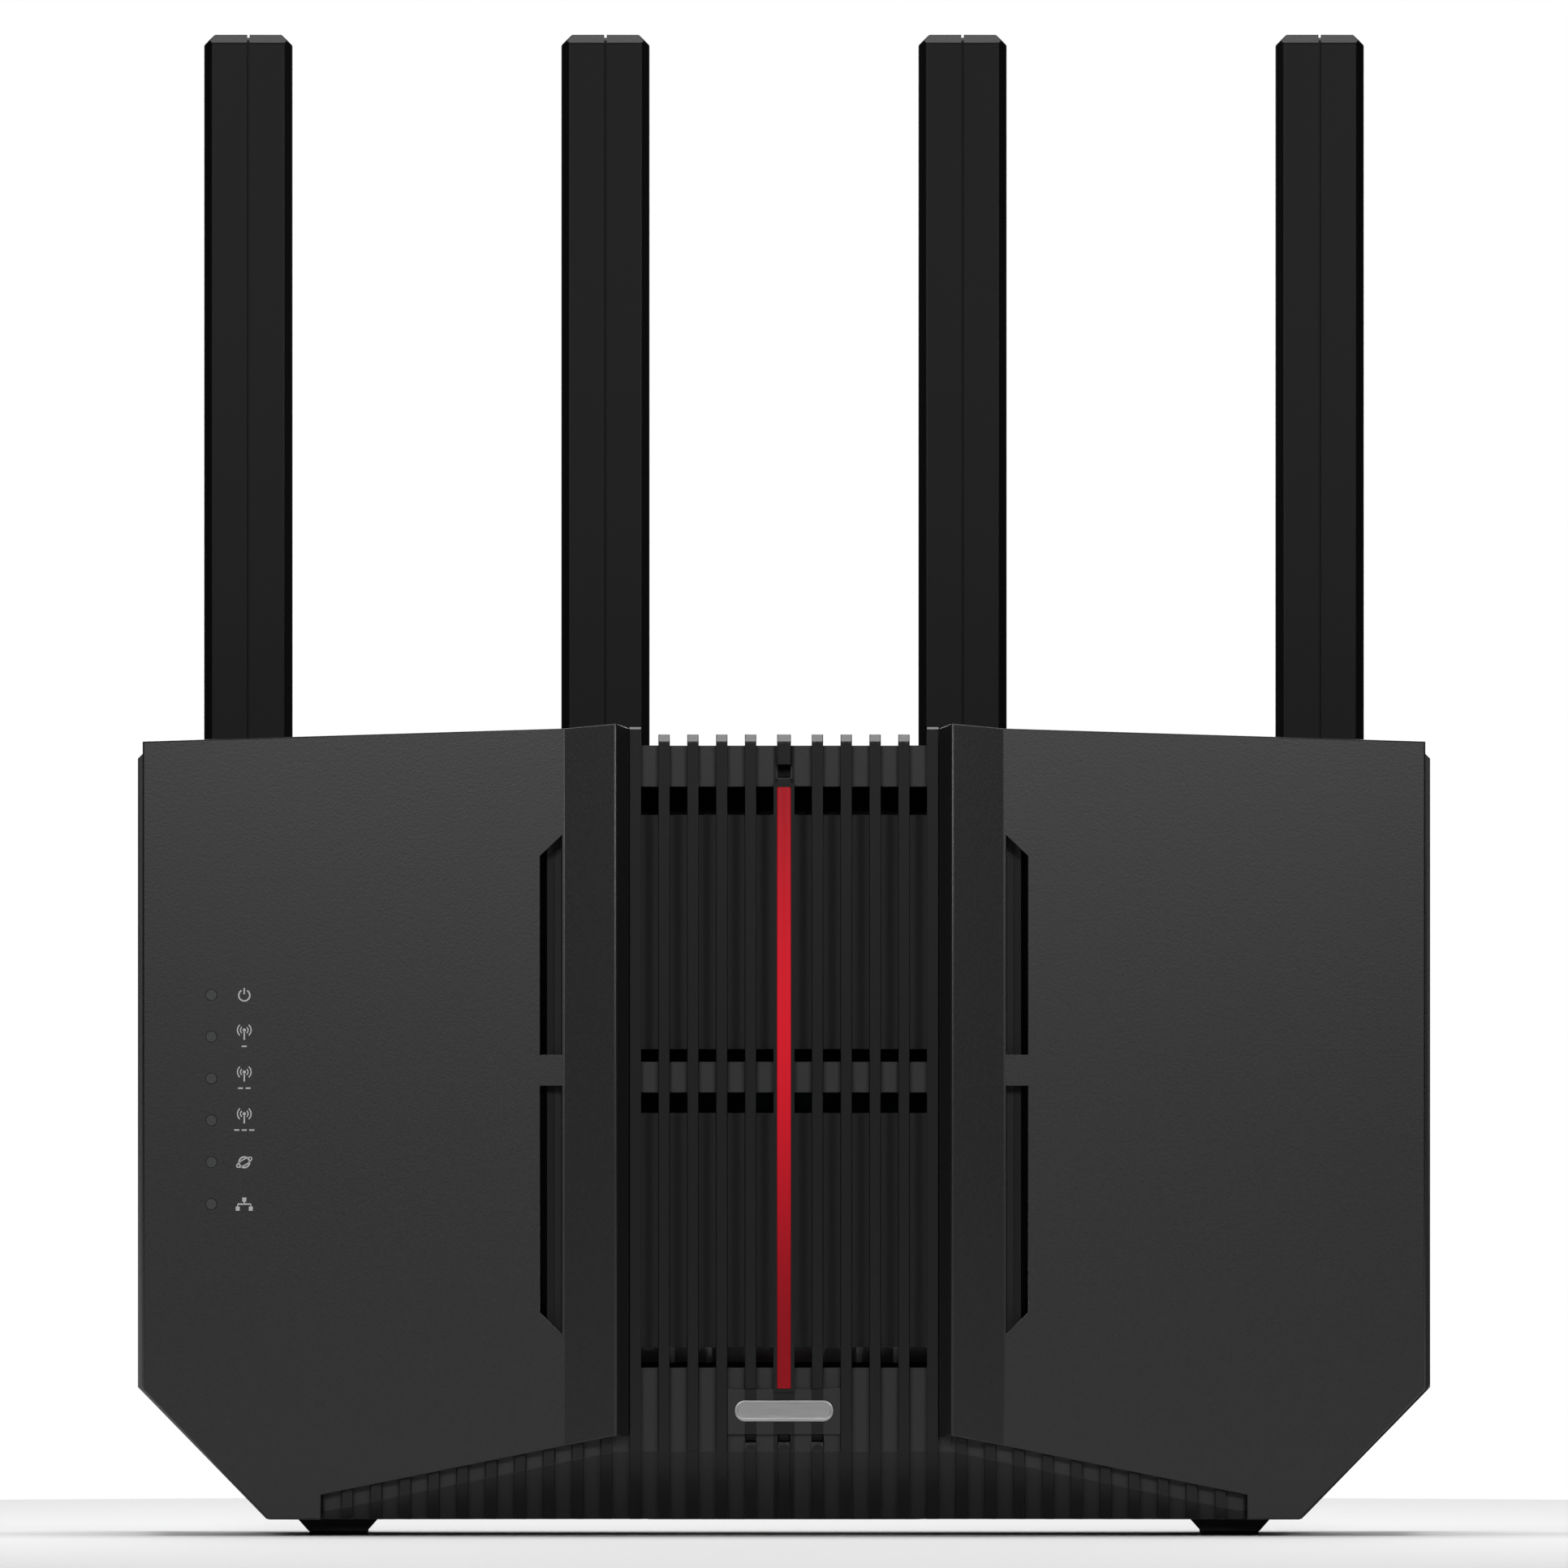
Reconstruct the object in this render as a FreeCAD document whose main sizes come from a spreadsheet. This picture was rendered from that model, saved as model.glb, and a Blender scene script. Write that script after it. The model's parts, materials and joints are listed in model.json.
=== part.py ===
import FreeCAD, Part
import os
import re
import Sketcher

# Upright wireless router with four swivelling paddle antennas.
# Millimetres. +Z is up, +X is to the right seen from the front, the front faces -Y.

DIMENSIONS = {
    # Whole housing
    "cover_half": 127.6,        # half width of the flared rear cover
    "front_half": 126.6,        # half width of the front panels
    "base_z": 3.26,             # underside of the housing
    "front_y": -30.0,           # pillar crease, foremost line
    "rear_y": 30.0,             # rear face of the socket bay
    "parting_y": -14.0,         # plane where front pieces meet the rear cover
    "wall": 2.4,                # rear cover wall
    "crest_z": 160.4,           # top of the pillar crease
    "top_fall": 0.266,          # fall of the top surface per millimetre towards the rear
    "corner_x": 101.7,          # where the lower diagonal meets the underside
    "corner_z": 29.0,           # where the lower diagonal meets the side
    # Rear cover
    "cover_top_drop": 0.5,      # rear cover sits this far below the panel tops
    "cover_chamfer": 2.6,       # chamfer of the rear lower and rear upper edges
    "bay_top_z": 44.0,          # top of the upright socket face
    "slope_start_y": 28.0,      # sloping back, lower end
    "slope_start_z": 48.0,
    "slab_y": 2.0,              # rear face of the thin upper part
    "slope_end_z": 120.0,
    "side_chamfer": 2.0,        # chamfer at the top corners of the cover
    "side_drop": 5.0,           # top corners of the cover lie this far below the crest
    "flare_low": 0.5,           # cover reaches past the panels at the foot of the diagonal
    "flare_side": 0.3,          # and at its upper end
    "mitre": 0.42,              # run of a diagonal corner per millimetre of inset
    # Wings
    "skin": 2.2,                # front panel wall
    "pillar_in": 30.5,          # inner face of a pillar
    "crease_x": 33.1,           # crease of a pillar
    "pillar_out": 43.3,         # fold between pillar and wing
    "pillar_y": -26.4,          # depth of both feet of the pillar
    "wing_end_y": -16.8,        # depth of the wing at its outer end
    "cut_out_x": 91.3,          # lower corner of the cut that shows the ribbed base
    "cut_out_z": 8.1,
    "cut_in_z": 19.9,           # height of the cut at the pillar
    # Side vents in the wings
    "vent_in_x": 43.8,
    "vent_out_x": 48.1,
    "vent_low_z": 44.2,
    "vent_high_z": 134.2,
    "vent_splay": 4.1,          # extra length on the inner edge of a vent
    "vent_bridge_low": 88.9,
    "vent_bridge_high": 95.0,
    "vent_blade_out": 46.9,     # recessed blade behind the vent
    "vent_blade_y": -21.4,
    # Grille
    "bar_width": 2.26,
    "bar_pitch": 5.686,
    "bar_first": 6.59,          # centre of the bar next to the middle
    "bar_depth": 4.0,
    "bar_top_z": 158.2,
    "bar_bevel": 1.5,
    "edge_bar_top_z": 159.6,    # the two outermost bars stand taller
    "edge_bar_bevel": 0.4,
    "bay_half": 28.2,           # half width of the recess between the edge bars
    "beam_y": -24.9,            # face of the three cross beams
    "panel_y": -20.5,           # face of the two recessed panels
    "panel_wall": 2.0,
    "plate_wall": 2.0,          # closing plate behind the panels
    "beam_top_z": 156.0,
    "upper_bay_top": 147.9,
    "upper_panel_top": 142.3,
    "upper_panel_low": 96.1,
    "upper_bay_low": 93.6,
    "lower_bay_top": 87.6,
    "lower_panel_top": 83.5,
    "lower_panel_low": 37.3,
    "lower_bay_low": 33.3,
    "middle_bar_half": 1.375,
    "strip_half": 1.36,
    "frame_half": 2.06,
    "strip_low": 29.2,
    "strip_high": 147.8,
    "strip_y": -26.6,
    "peep_low": 149.6,          # square hole above the strip
    "peep_high": 152.2,
    "strip_board_half": 2.0,    # board that lights the strip, hidden behind its frame
    "strip_board_inset": 6.0,
    "strip_board_gap": 0.3,
    # Ribbed base
    "crease_z": 16.8,           # crease above the sloping lower face
    "crease_fall": 0.209,       # fall of the crease per millimetre outwards
    "base_end_y": -18.3,        # depth of the base face at its outer ends
    "undercut": 0.8,            # backward run per millimetre of drop below the crease
    "rib_proud": 1.1,
    "rib_width": 2.26,
    "land_half": 11.2,          # plain land that carries the name plate
    "land_low": 20.2,
    "land_high": 29.2,
    "land_y": -25.9,
    "rib_restart": 18.8,        # ribs under the land start again here
    "restart_bevel": 0.5,
    "notch_y": -22.8,           # floor of the notches between the land and those ribs
    # Name plate
    "badge_half": 9.75,
    "badge_height": 4.2,
    "badge_z": 24.8,
    "badge_wall": 0.4,
    # Status lights
    "status_x": -113.0,
    "status_low_z": 65.5,
    "status_pitch": 8.26,
    "status_radius": 1.05,
    "status_hole": 1.15,
    "status_face_y": -18.3,
    "carrier_half": 3.0,
    "carrier_over": 4.0,
    "small_board": 1.2,
    # Antenna mounts
    "antenna_pitch": 70.74,
    "antenna_y": 13.0,
    "hinge_z": 128.0,
    "tower_radius": 9.6,
    "tower_bore": 7.4,
    "tower_low": 56.0,
    "tower_top": 116.0,
    "tower_floor": 3.0,
    "spigot_radius": 4.0,
    "spigot_gap": 0.05,
    "spigot_low": 104.0,
    "cable_bore": 1.4,
    "turret_radius": 8.6,
    "turret_high": 6.0,
    "turret_chamfer": 1.0,
    "tongue_half": 3.0,
    "knuckle_radius": 4.0,
    "pin_radius": 1.5,
    "pin_gap": 0.05,
    "pin_half": 8.0,
    "clip_radius": 6.4,
    "clip_seat": 3.2,
    "clip_wall": 1.2,
    "clip_gap": 0.1,
    # Paddles, measured from the hinge pin
    "paddle_half": 8.735,
    "paddle_top": 168.8,
    "paddle_thick_half": 4.0,
    "paddle_corner": 2.1,
    "paddle_side_bevel": 1.5,
    "paddle_bevel_depth": 1.8,
    "paddle_top_bevel": 1.7,
    "fork_gap": 0.15,
    "fork_depth": 4.6,
    "slit_half": 0.25,
    "slit_depth": 0.6,
    "cavity_half": 6.2,
    "cavity_thick_half": 2.3,
    "cavity_low": 10.0,
    "cavity_high": 163.0,
    "paddle_rib_half": 0.6,
    "element_half": 4.5,
    "element_thick_half": 0.4,
    "element_low": 12.0,
    "element_high": 157.0,
    # Socket bay
    "bay_face_y": 27.0,
    "bay_left": -84.0,
    "bay_right": 104.0,
    "bay_low": 11.0,
    "bay_high": 34.0,
    "bay_wall": 2.4,
    "socket_z": 22.0,
    "socket_front": 26.6,
    "socket_clear": 0.3,
    "jack_half": 8.1,
    "jack_high_half": 6.9,
    "jack_pitch": 16.0,
    "jack_mouth_half": 5.9,
    "jack_mouth_low": 4.6,
    "jack_mouth_high": 3.6,
    "jack_mouth_depth": 13.0,
    "jack_key_half": 3.1,
    "jack_key_high": 1.6,
    "wan_x": 38.0,
    "lan_x": -10.0,
    "usb_x": 60.0,
    "usb_half": 7.2,
    "usb_high_half": 3.5,
    "usb_metal": 0.6,
    "usb_depth": 12.0,
    "usb_tongue_half": 5.6,
    "usb_tongue_high": 1.8,
    "dc_x": 92.0,
    "dc_half": 5.0,
    "dc_high_half": 5.5,
    "dc_hole": 3.1,
    "dc_depth": 10.0,
    "dc_pin": 1.0,
    # Buttons
    "power_x": 76.0,
    "power_half": 4.0,
    "power_high_half": 3.0,
    "power_out_y": 29.3,
    "power_switch_y": 15.5,
    "button_clear": 0.15,
    "flange_wide": 1.2,
    "flange_wall": 1.6,
    "flange_y": 24.5,
    "stem_half": 1.5,
    "stem_end_y": 15.0,
    "switch_bore_y": 10.5,
    "switch_half": 3.2,
    "pair_x": -58.0,
    "pair_radius": 2.5,
    "pair_out_y": 28.4,
    "pair_gap": 0.1,
    "reset_x": -72.0,
    "reset_hole": 0.9,
    "reset_radius": 1.5,
    "reset_out_y": 23.6,
    "reset_low_y": 16.0,
    "reset_switch_y": 19.4,
    # Main board and what stands on it
    "board_half": 109.0,
    "board_y": 5.9,
    "board_wall": 1.6,
    "board_low": 14.0,
    "board_high": 90.0,
    "board_hole": 1.5,
    "board_boss": 3.0,
    "board_hole_low_x": 103.0,
    "board_hole_high_x": 98.0,
    "board_hole_low": 18.5,
    "board_hole_high": 84.0,
    "screw_radius": 1.4,
    "screw_head": 2.7,
    "screw_head_high": 1.5,
    "screw_reach": 6.0,
    "chip_half": 9.0,
    "chip_high": 1.4,
    "chip_z": 56.0,
    "chip_x": 24.0,
    "pad_high": 0.6,
    "sink_half": 46.0,
    "sink_low": 34.0,
    "sink_high": 78.0,
    "sink_base": 2.0,
    "sink_fin_high": 8.0,
    "sink_fin_wall": 1.2,
    "sink_fin_pitch": 7.4,
    "can_half": 14.0,
    "can_x": 52.0,
    "can_low": 42.0,
    "can_high": 66.0,
    "can_deep": 3.0,
    "part_wide": 4.0,
    "part_deep": 5.0,
    "part_low": 36.0,
    "coax_z": 86.0,
    "coax_socket_half": 1.6,
    "coax_socket_high": 2.0,
    "coax_radius": 0.65,
    "coax_bend": 2.5,
    # Housing screws
    "post_radius": 3.6,
    "post_x": 116.0,
    "post_low_z": 36.0,
    "post_high_z": 140.0,
    "post_hole": 1.6,
    "head_recess": 1.2,
    "head_radius": 3.0,
    "head_clear": 0.2,
    "shank_reach": 12.0,
    # Cooling slots in the sloping back
    "slot_half": 18.0,
    "slot_high": 2.6,
    "slot_pitch": 6.5,
    "slot_low": 57.0,
    # Feet
    "foot_x": 88.1,
    "foot_top_half": 7.9,
    "foot_low_half": 5.7,
    "foot_front": -13.0,
    "foot_rear": 27.0,
    "foot_pad": 0.8,
    "pad_half": 5.7,
    "pad_inset": 2.0,
    # Rating label
    "label_half": 27.0,
    "label_front": -6.0,
    "label_rear": 20.0,
    "label_wall": 0.2,
}

STATUS_LIGHTS = 6
BARS_PER_SIDE = 5
RIBS_PER_SIDE = 15
SINK_FINS = 13
SLOT_ROWS = 6
ANTENNA_STEPS = (-1.5, -0.5, 0.5, 1.5)
PADDLE_RIBS = (0.15, 0.5, 0.85)
FAR = 60.0

PLANE_TURN = {
    "XY": FreeCAD.Rotation(),
    "XZ": FreeCAD.Rotation(FreeCAD.Vector(1, 0, 0), 90),
    "YZ": FreeCAD.Rotation(FreeCAD.Vector(1, 1, 1), 120),
}
PLANE_NORMAL = {"XY": "z", "XZ": "y", "YZ": "x"}
AXIS_VECTOR = {
    "x": FreeCAD.Vector(1, 0, 0),
    "y": FreeCAD.Vector(0, 1, 0),
    "z": FreeCAD.Vector(0, 0, 1),
}
AXIS_TURN = {
    "x": FreeCAD.Rotation(FreeCAD.Vector(0, 1, 0), 90),
    "y": FreeCAD.Rotation(FreeCAD.Vector(1, 0, 0), -90),
    "z": FreeCAD.Rotation(),
}

os.makedirs("parts", exist_ok=True)
doc = FreeCAD.newDocument("router")
sheet = doc.addObject("Spreadsheet::Sheet", "dims")
for row, (alias, value) in enumerate(DIMENSIONS.items(), start=1):
    sheet.set(f"A{row}", alias)
    sheet.set(f"B{row}", str(value))
    sheet.setAlias(f"B{row}", alias)
doc.recompute()

nodes = []


def formula(text):
    """A formula over named dimensions, with the names pointed at the sheet."""
    def cell(word):
        return "dims." + word.group() if word.group() in DIMENSIONS else word.group()
    return re.sub(r"[a-z][a-z_]*", cell, str(text))


def size_of(text):
    """The present value of a formula."""
    return float(sheet.evalExpression(formula(text)))


def outline(name, plane, points, level):
    """A closed sketch on a plane; every corner is held by two bound constraints."""
    sketch = doc.addObject("Sketcher::SketchObject", name)
    sketch.Placement = FreeCAD.Placement(FreeCAD.Vector(), PLANE_TURN[plane])
    sketch.setExpression("Placement.Base." + PLANE_NORMAL[plane], formula(level))
    corners = [FreeCAD.Vector(size_of(u), size_of(v), 0) for u, v in points]
    following = corners[1:] + corners[:1]
    sketch.addGeometry([Part.LineSegment(a, b) for a, b in zip(corners, following)], False)
    rules = []
    bound = []
    for index, (u, v) in enumerate(points):
        rules.append(Sketcher.Constraint("Coincident", index, 2, (index + 1) % len(points), 1))
    for index, (u, v) in enumerate(points):
        for kind, text, value in (("DistanceX", u, corners[index].x),
                                  ("DistanceY", v, corners[index].y)):
            bound.append((len(rules), text))
            rules.append(Sketcher.Constraint(kind, -1, 1, index, 1, value))
    sketch.addConstraint(rules)
    for index, text in bound:
        sketch.setExpression(f"Constraints[{index}]", formula(text))
    return sketch


def prism(name, plane, points, span):
    """A solid with the outline on the plane, reaching over the span along its normal."""
    low, high = span
    solid = doc.addObject("Part::Extrusion", name)
    solid.Base = outline(name + "_outline", plane, points, low)
    solid.DirMode = "Custom"
    solid.Dir = AXIS_VECTOR[PLANE_NORMAL[plane]]
    solid.Solid = True
    solid.setExpression("LengthFwd", formula(f"({high}) - ({low})"))
    return solid


def slanted(name, plane, points, level, direction, length):
    """A solid with the outline on the plane, reaching along a slanted direction."""
    solid = doc.addObject("Part::Extrusion", name)
    solid.Base = outline(name + "_outline", plane, points, level)
    solid.DirMode = "Custom"
    solid.Solid = True
    for axis, text in zip("xyz", direction):
        solid.setExpression("Dir." + axis, formula(text))
    solid.setExpression("LengthFwd", formula(length))
    return solid


def box(name, x, y, z):
    """A block over three (low, high) spans."""
    solid = doc.addObject("Part::Box", name)
    for axis, side, (low, high) in zip("xyz", ("Length", "Width", "Height"), (x, y, z)):
        solid.setExpression("Placement.Base." + axis, formula(low))
        solid.setExpression(side, formula(f"({high}) - ({low})"))
    return solid


def cylinder(name, axis, centre, radius, span):
    """A cylinder along an axis; centre holds the two other coordinates in x, y, z order."""
    low, high = span
    solid = doc.addObject("Part::Cylinder", name)
    solid.Placement = FreeCAD.Placement(FreeCAD.Vector(), AXIS_TURN[axis])
    for other, text in zip([letter for letter in "xyz" if letter != axis], centre):
        solid.setExpression("Placement.Base." + other, formula(text))
    solid.setExpression("Placement.Base." + axis, formula(low))
    solid.setExpression("Radius", formula(radius))
    solid.setExpression("Height", formula(f"({high}) - ({low})"))
    return solid


def cone(name, centre, low_radius, high_radius, span):
    """An upright truncated cone."""
    low, high = span
    solid = doc.addObject("Part::Cone", name)
    for axis, text in zip("xyz", (*centre, low)):
        solid.setExpression("Placement.Base." + axis, formula(text))
    solid.setExpression("Radius1", formula(low_radius))
    solid.setExpression("Radius2", formula(high_radius))
    solid.setExpression("Height", formula(f"({high}) - ({low})"))
    return solid


def elbow(name, x, y, z, bend, radius):
    """A quarter of a ring across X, from straight below its centre round to the rear."""
    solid = doc.addObject("Part::Torus", name)
    solid.Placement = FreeCAD.Placement(FreeCAD.Vector(), AXIS_TURN["x"])
    for axis, text in zip("xyz", (x, y, z)):
        solid.setExpression("Placement.Base." + axis, formula(text))
    solid.setExpression("Radius1", formula(bend))
    solid.setExpression("Radius2", formula(radius))
    solid.Angle3 = 90
    return solid


def fuse(name, *shapes):
    result = doc.addObject("Part::MultiFuse", name)
    result.Shapes = list(shapes)
    return result


def common(name, *shapes):
    result = doc.addObject("Part::MultiCommon", name)
    result.Shapes = list(shapes)
    return result


def cut(name, base, *tools):
    result = doc.addObject("Part::Cut", name)
    result.Base = base
    result.Tool = tools[0] if len(tools) == 1 else fuse(name + "_tools", *tools)
    return result


def group(name, *shapes):
    """Separate like solids kept in one node."""
    result = doc.addObject("Part::Compound", name)
    result.Links = list(shapes)
    return result


def node(shape, label, move=None):
    """Mark a shape as a finished piece, with its label and its place."""
    shape.Label = label
    for axis, text in (move or {}).items():
        shape.setExpression("Placement.Base." + axis, formula(text))
    nodes.append(shape)
    return shape


def mirrored(points):
    """A half outline from the middle outwards, closed over the middle plane."""
    return points + [(f"-({u})", v) for u, v in reversed(points)]


def sided(points, side):
    """An outline drawn for the right, thrown to the given side."""
    return [(f"{side} * ({u})", v) for u, v in points]


def spread(low, high, side):
    """A span drawn for the right, thrown to the given side."""
    return (low, high) if side > 0 else (f"-({high})", f"-({low})")


def top_line(drop, y_low, y_high):
    """Side outline of everything under the falling top surface."""
    def height(y):
        return f"crest_z - top_fall * (({y}) - front_y) - ({drop})"
    return [(y_low, "0"), (y_high, "0"), (y_high, height(y_high)), (y_low, height(y_low))]


def rib_x(index):
    return f"bar_first + bar_pitch * {index}"


# ---------------------------------------------------------------- rear cover
def cover_front_outline(inset):
    """Front view of the cover; the inset follows the square and diagonal edges."""
    return mirrored([
        (f"corner_x + flare_low - mitre * ({inset})", f"base_z + ({inset})"),
        (f"cover_half - ({inset})", f"corner_z + flare_side + mitre * ({inset})"),
        (f"cover_half - ({inset})", f"crest_z - side_drop - side_chamfer - ({inset})"),
        (f"cover_half - side_chamfer - ({inset})", f"crest_z - side_drop - ({inset})"),
        (f"cover_half - side_chamfer - 1 - ({inset})", "crest_z"),
    ])


def cover_side_outline(inset, front):
    """Side view of the cover: upright bay, sloping back, thin upper slab."""
    top = f"crest_z - cover_top_drop - ({inset})"
    return [
        (front, f"base_z + ({inset})"),
        (f"rear_y - cover_chamfer - 0.4 * ({inset})", f"base_z + ({inset})"),
        (f"rear_y - ({inset})", f"base_z + cover_chamfer + 0.4 * ({inset})"),
        (f"rear_y - ({inset})", f"bay_top_z - 0.2 * ({inset})"),
        (f"slope_start_y - 1.05 * ({inset})", f"slope_start_z - 0.1 * ({inset})"),
        (f"slab_y - ({inset})", f"slope_end_z - 0.15 * ({inset})"),
        (f"slab_y - ({inset})", f"{top} - top_fall * (slab_y - front_y)"),
        (front, f"{top} - top_fall * (({front}) - front_y)"),
    ]


def tower_cylinders(name, radius, low, high):
    return [cylinder(f"{name}_{index}", "z", (f"{step} * antenna_pitch", "antenna_y"),
                     radius, (low, high))
            for index, step in enumerate(ANTENNA_STEPS, start=1)]


def cover_volume(name, inset, front):
    return common(
        name,
        prism(name + "_front", "XZ", cover_front_outline(inset), (front, "rear_y")),
        prism(name + "_side", "YZ", cover_side_outline(inset, front),
              ("-cover_half", "cover_half")))


POSTS = [(side, z) for side in (-1, 1) for z in ("post_low_z", "post_high_z")]
POST_REAR = {"post_low_z": "rear_y", "post_high_z": "slab_y"}
BOARD_HOLES = [("-board_hole_low_x", "board_hole_low"), ("board_hole_low_x", "board_hole_low"),
               ("-board_hole_high_x", "board_hole_high"), ("0", "board_hole_high"),
               ("board_hole_high_x", "board_hole_high")]

cover_outer = fuse("cover_outer", cover_volume("cover_solid", "0", "parting_y"),
                   *tower_cylinders("tower_outer", "tower_radius", "tower_low", "tower_top"))
cover_shell = cut("cover_shell", cover_outer,
                  cover_volume("cover_cavity", "wall", "parting_y - 1"),
                  *tower_cylinders("tower_inner", "tower_bore", "tower_low - 8",
                                   "tower_top - tower_floor"))
bay_block = box("bay_block", ("bay_left - wall", "bay_right + wall"),
                ("bay_face_y - bay_wall", "rear_y"), ("bay_low - wall", "bay_high + wall"))
board_bosses = [cylinder(f"board_boss_{index}", "y", centre, "board_boss",
                         ("board_y + board_wall", "rear_y"))
                for index, centre in enumerate(BOARD_HOLES, start=1)]
cover_blank = common("cover_blank", cover_outer,
                     fuse("cover_filled", cover_shell, bay_block, *board_bosses))

bay_pocket = box("bay_pocket", ("bay_left", "bay_right"), ("bay_face_y", "rear_y + 1"),
                 ("bay_low", "bay_high"))


def port_hole(name, x, half, high_half):
    return box(name, (f"{x} - {half} - socket_clear", f"{x} + {half} + socket_clear"),
               ("bay_face_y - bay_wall - 1", "bay_face_y + 1"),
               (f"socket_z - {high_half} - socket_clear",
                f"socket_z + {high_half} + socket_clear"))


port_holes = [
    port_hole("wan_hole", "wan_x", "jack_half", "jack_high_half"),
    port_hole("lan_hole", "lan_x", "(jack_half + 1.5 * jack_pitch)", "jack_high_half"),
    port_hole("usb_hole", "usb_x", "usb_half", "usb_high_half"),
    box("power_hole", ("power_x - power_half - button_clear", "power_x + power_half + button_clear"),
        ("bay_face_y - bay_wall - 1", "bay_face_y + 1"),
        ("socket_z - power_high_half - button_clear", "socket_z + power_high_half + button_clear")),
    port_hole("dc_hole_in_cover", "dc_x", "dc_half", "dc_high_half"),
    cylinder("pair_hole", "y", ("pair_x", "socket_z"), "pair_radius + pair_gap",
             ("bay_face_y - bay_wall - 1", "bay_face_y + 1")),
    cylinder("reset_hole_in_cover", "y", ("reset_x", "socket_z"), "reset_hole",
             ("bay_face_y - bay_wall - 1", "bay_face_y + 1")),
]
spigot_bores = tower_cylinders("spigot_bore", "spigot_radius + spigot_gap",
                               "tower_top - tower_floor - 1", "tower_top + 1")
cooling_slots = [
    box(f"cooling_slot_{column + 1}_{row}",
        (f"{column} * antenna_pitch - slot_half", f"{column} * antenna_pitch + slot_half"),
        ("slab_y - wall", "rear_y"),
        (f"slot_low + slot_pitch * {row}", f"slot_low + slot_pitch * {row} + slot_high"))
    for column in (-1, 0, 1) for row in range(SLOT_ROWS)]
post_holes = []
for index, (side, z) in enumerate(POSTS, start=1):
    centre = (f"{side} * post_x", z)
    rear = POST_REAR[z]
    post_holes += [
        cylinder(f"post_hole_{index}", "y", centre, "post_hole", (f"{rear} - wall - 1", f"{rear} + 1")),
        cylinder(f"post_recess_{index}", "y", centre, "head_radius + head_clear",
                 (f"{rear} - head_recess", f"{rear} + 1")),
    ]
board_pilots = [cylinder(f"board_pilot_{index}", "y", centre, "screw_radius",
                         ("board_y", "board_y + board_wall + screw_reach"))
                for index, centre in enumerate(BOARD_HOLES, start=1)]
node(cut("rear_cover", cover_blank, bay_pocket, *port_holes, *spigot_bores, *cooling_slots,
         *post_holes, *board_pilots), "rear_cover")

# ---------------------------------------------------------------- wing panels
for side, label in ((-1, "wing_panel_left"), (1, "wing_panel_right")):
    wing_depth = "(pillar_y - wing_end_y) / (pillar_out - front_half)"
    plan = [("pillar_in", "parting_y"), ("pillar_in", "pillar_y"), ("crease_x", "front_y"),
            ("pillar_out", "pillar_y"), ("front_half", "wing_end_y"), ("front_half", "parting_y")]
    face = [("pillar_in", "cut_in_z"), ("crease_x", "cut_in_z"), ("cut_out_x", "cut_out_z"),
            ("cut_out_x", "base_z"), ("corner_x", "base_z"), ("front_half", "corner_z"),
            ("front_half", "crest_z"), ("pillar_in", "crest_z")]
    inner_plan = [("pillar_in + skin", "parting_y + 1"), ("pillar_in + skin", "front_y + 1.6 * skin"),
                  ("crease_x + 0.1 * skin", "front_y + 1.1 * skin"),
                  ("pillar_out - 0.1 * skin", "pillar_y + skin"),
                  ("front_half - skin", f"wing_end_y + skin - skin * ({wing_depth})"),
                  ("front_half - skin", "parting_y + 1")]
    inner_face = [("pillar_in + skin", "cut_in_z + skin"), ("crease_x + skin", "cut_in_z + skin"),
                  ("cut_out_x + skin", "cut_out_z + skin"), ("cut_out_x + skin", "base_z + skin"),
                  ("corner_x - mitre * skin", "base_z + skin"),
                  ("front_half - skin", "corner_z + mitre * skin"),
                  ("front_half - skin", "crest_z"), ("pillar_in + skin", "crest_z")]
    depth = ("front_y", "parting_y")
    wing = common(
        label + "_solid",
        prism(label + "_plan", "XY", sided(plan, side), ("base_z", "crest_z")),
        prism(label + "_face", "XZ", sided(face, side), depth),
        prism(label + "_top", "YZ", top_line("0", "front_y", "parting_y"),
              spread("pillar_in", "front_half", side)))
    hollow = common(
        label + "_hollow",
        prism(label + "_inner_plan", "XY", sided(inner_plan, side), ("base_z", "crest_z")),
        prism(label + "_inner_face", "XZ", sided(inner_face, side), ("front_y", "parting_y + 1")),
        prism(label + "_inner_top", "YZ", top_line("skin", "front_y", "parting_y + 1"),
              spread("pillar_in", "front_half", side)))
    vents = [
        prism(f"{label}_vent_low", "XZ", sided([
            ("vent_out_x", "vent_low_z"), ("vent_out_x", "vent_bridge_low"),
            ("vent_in_x", "vent_bridge_low"), ("vent_in_x", "vent_low_z - vent_splay")], side),
            ("front_y", "vent_blade_y + 1")),
        prism(f"{label}_vent_high", "XZ", sided([
            ("vent_out_x", "vent_bridge_high"), ("vent_out_x", "vent_high_z"),
            ("vent_in_x", "vent_high_z + vent_splay"), ("vent_in_x", "vent_bridge_high")], side),
            ("front_y", "vent_blade_y + 1")),
    ]
    windows = []
    if side < 0:
        windows = [cylinder(f"status_window_{index}", "y",
                            ("status_x", f"status_low_z + status_pitch * {index}"),
                            "status_hole", ("front_y", "parting_y"))
                   for index in range(STATUS_LIGHTS)]
    node(cut(label, wing, hollow, *vents, *windows), label)

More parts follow.
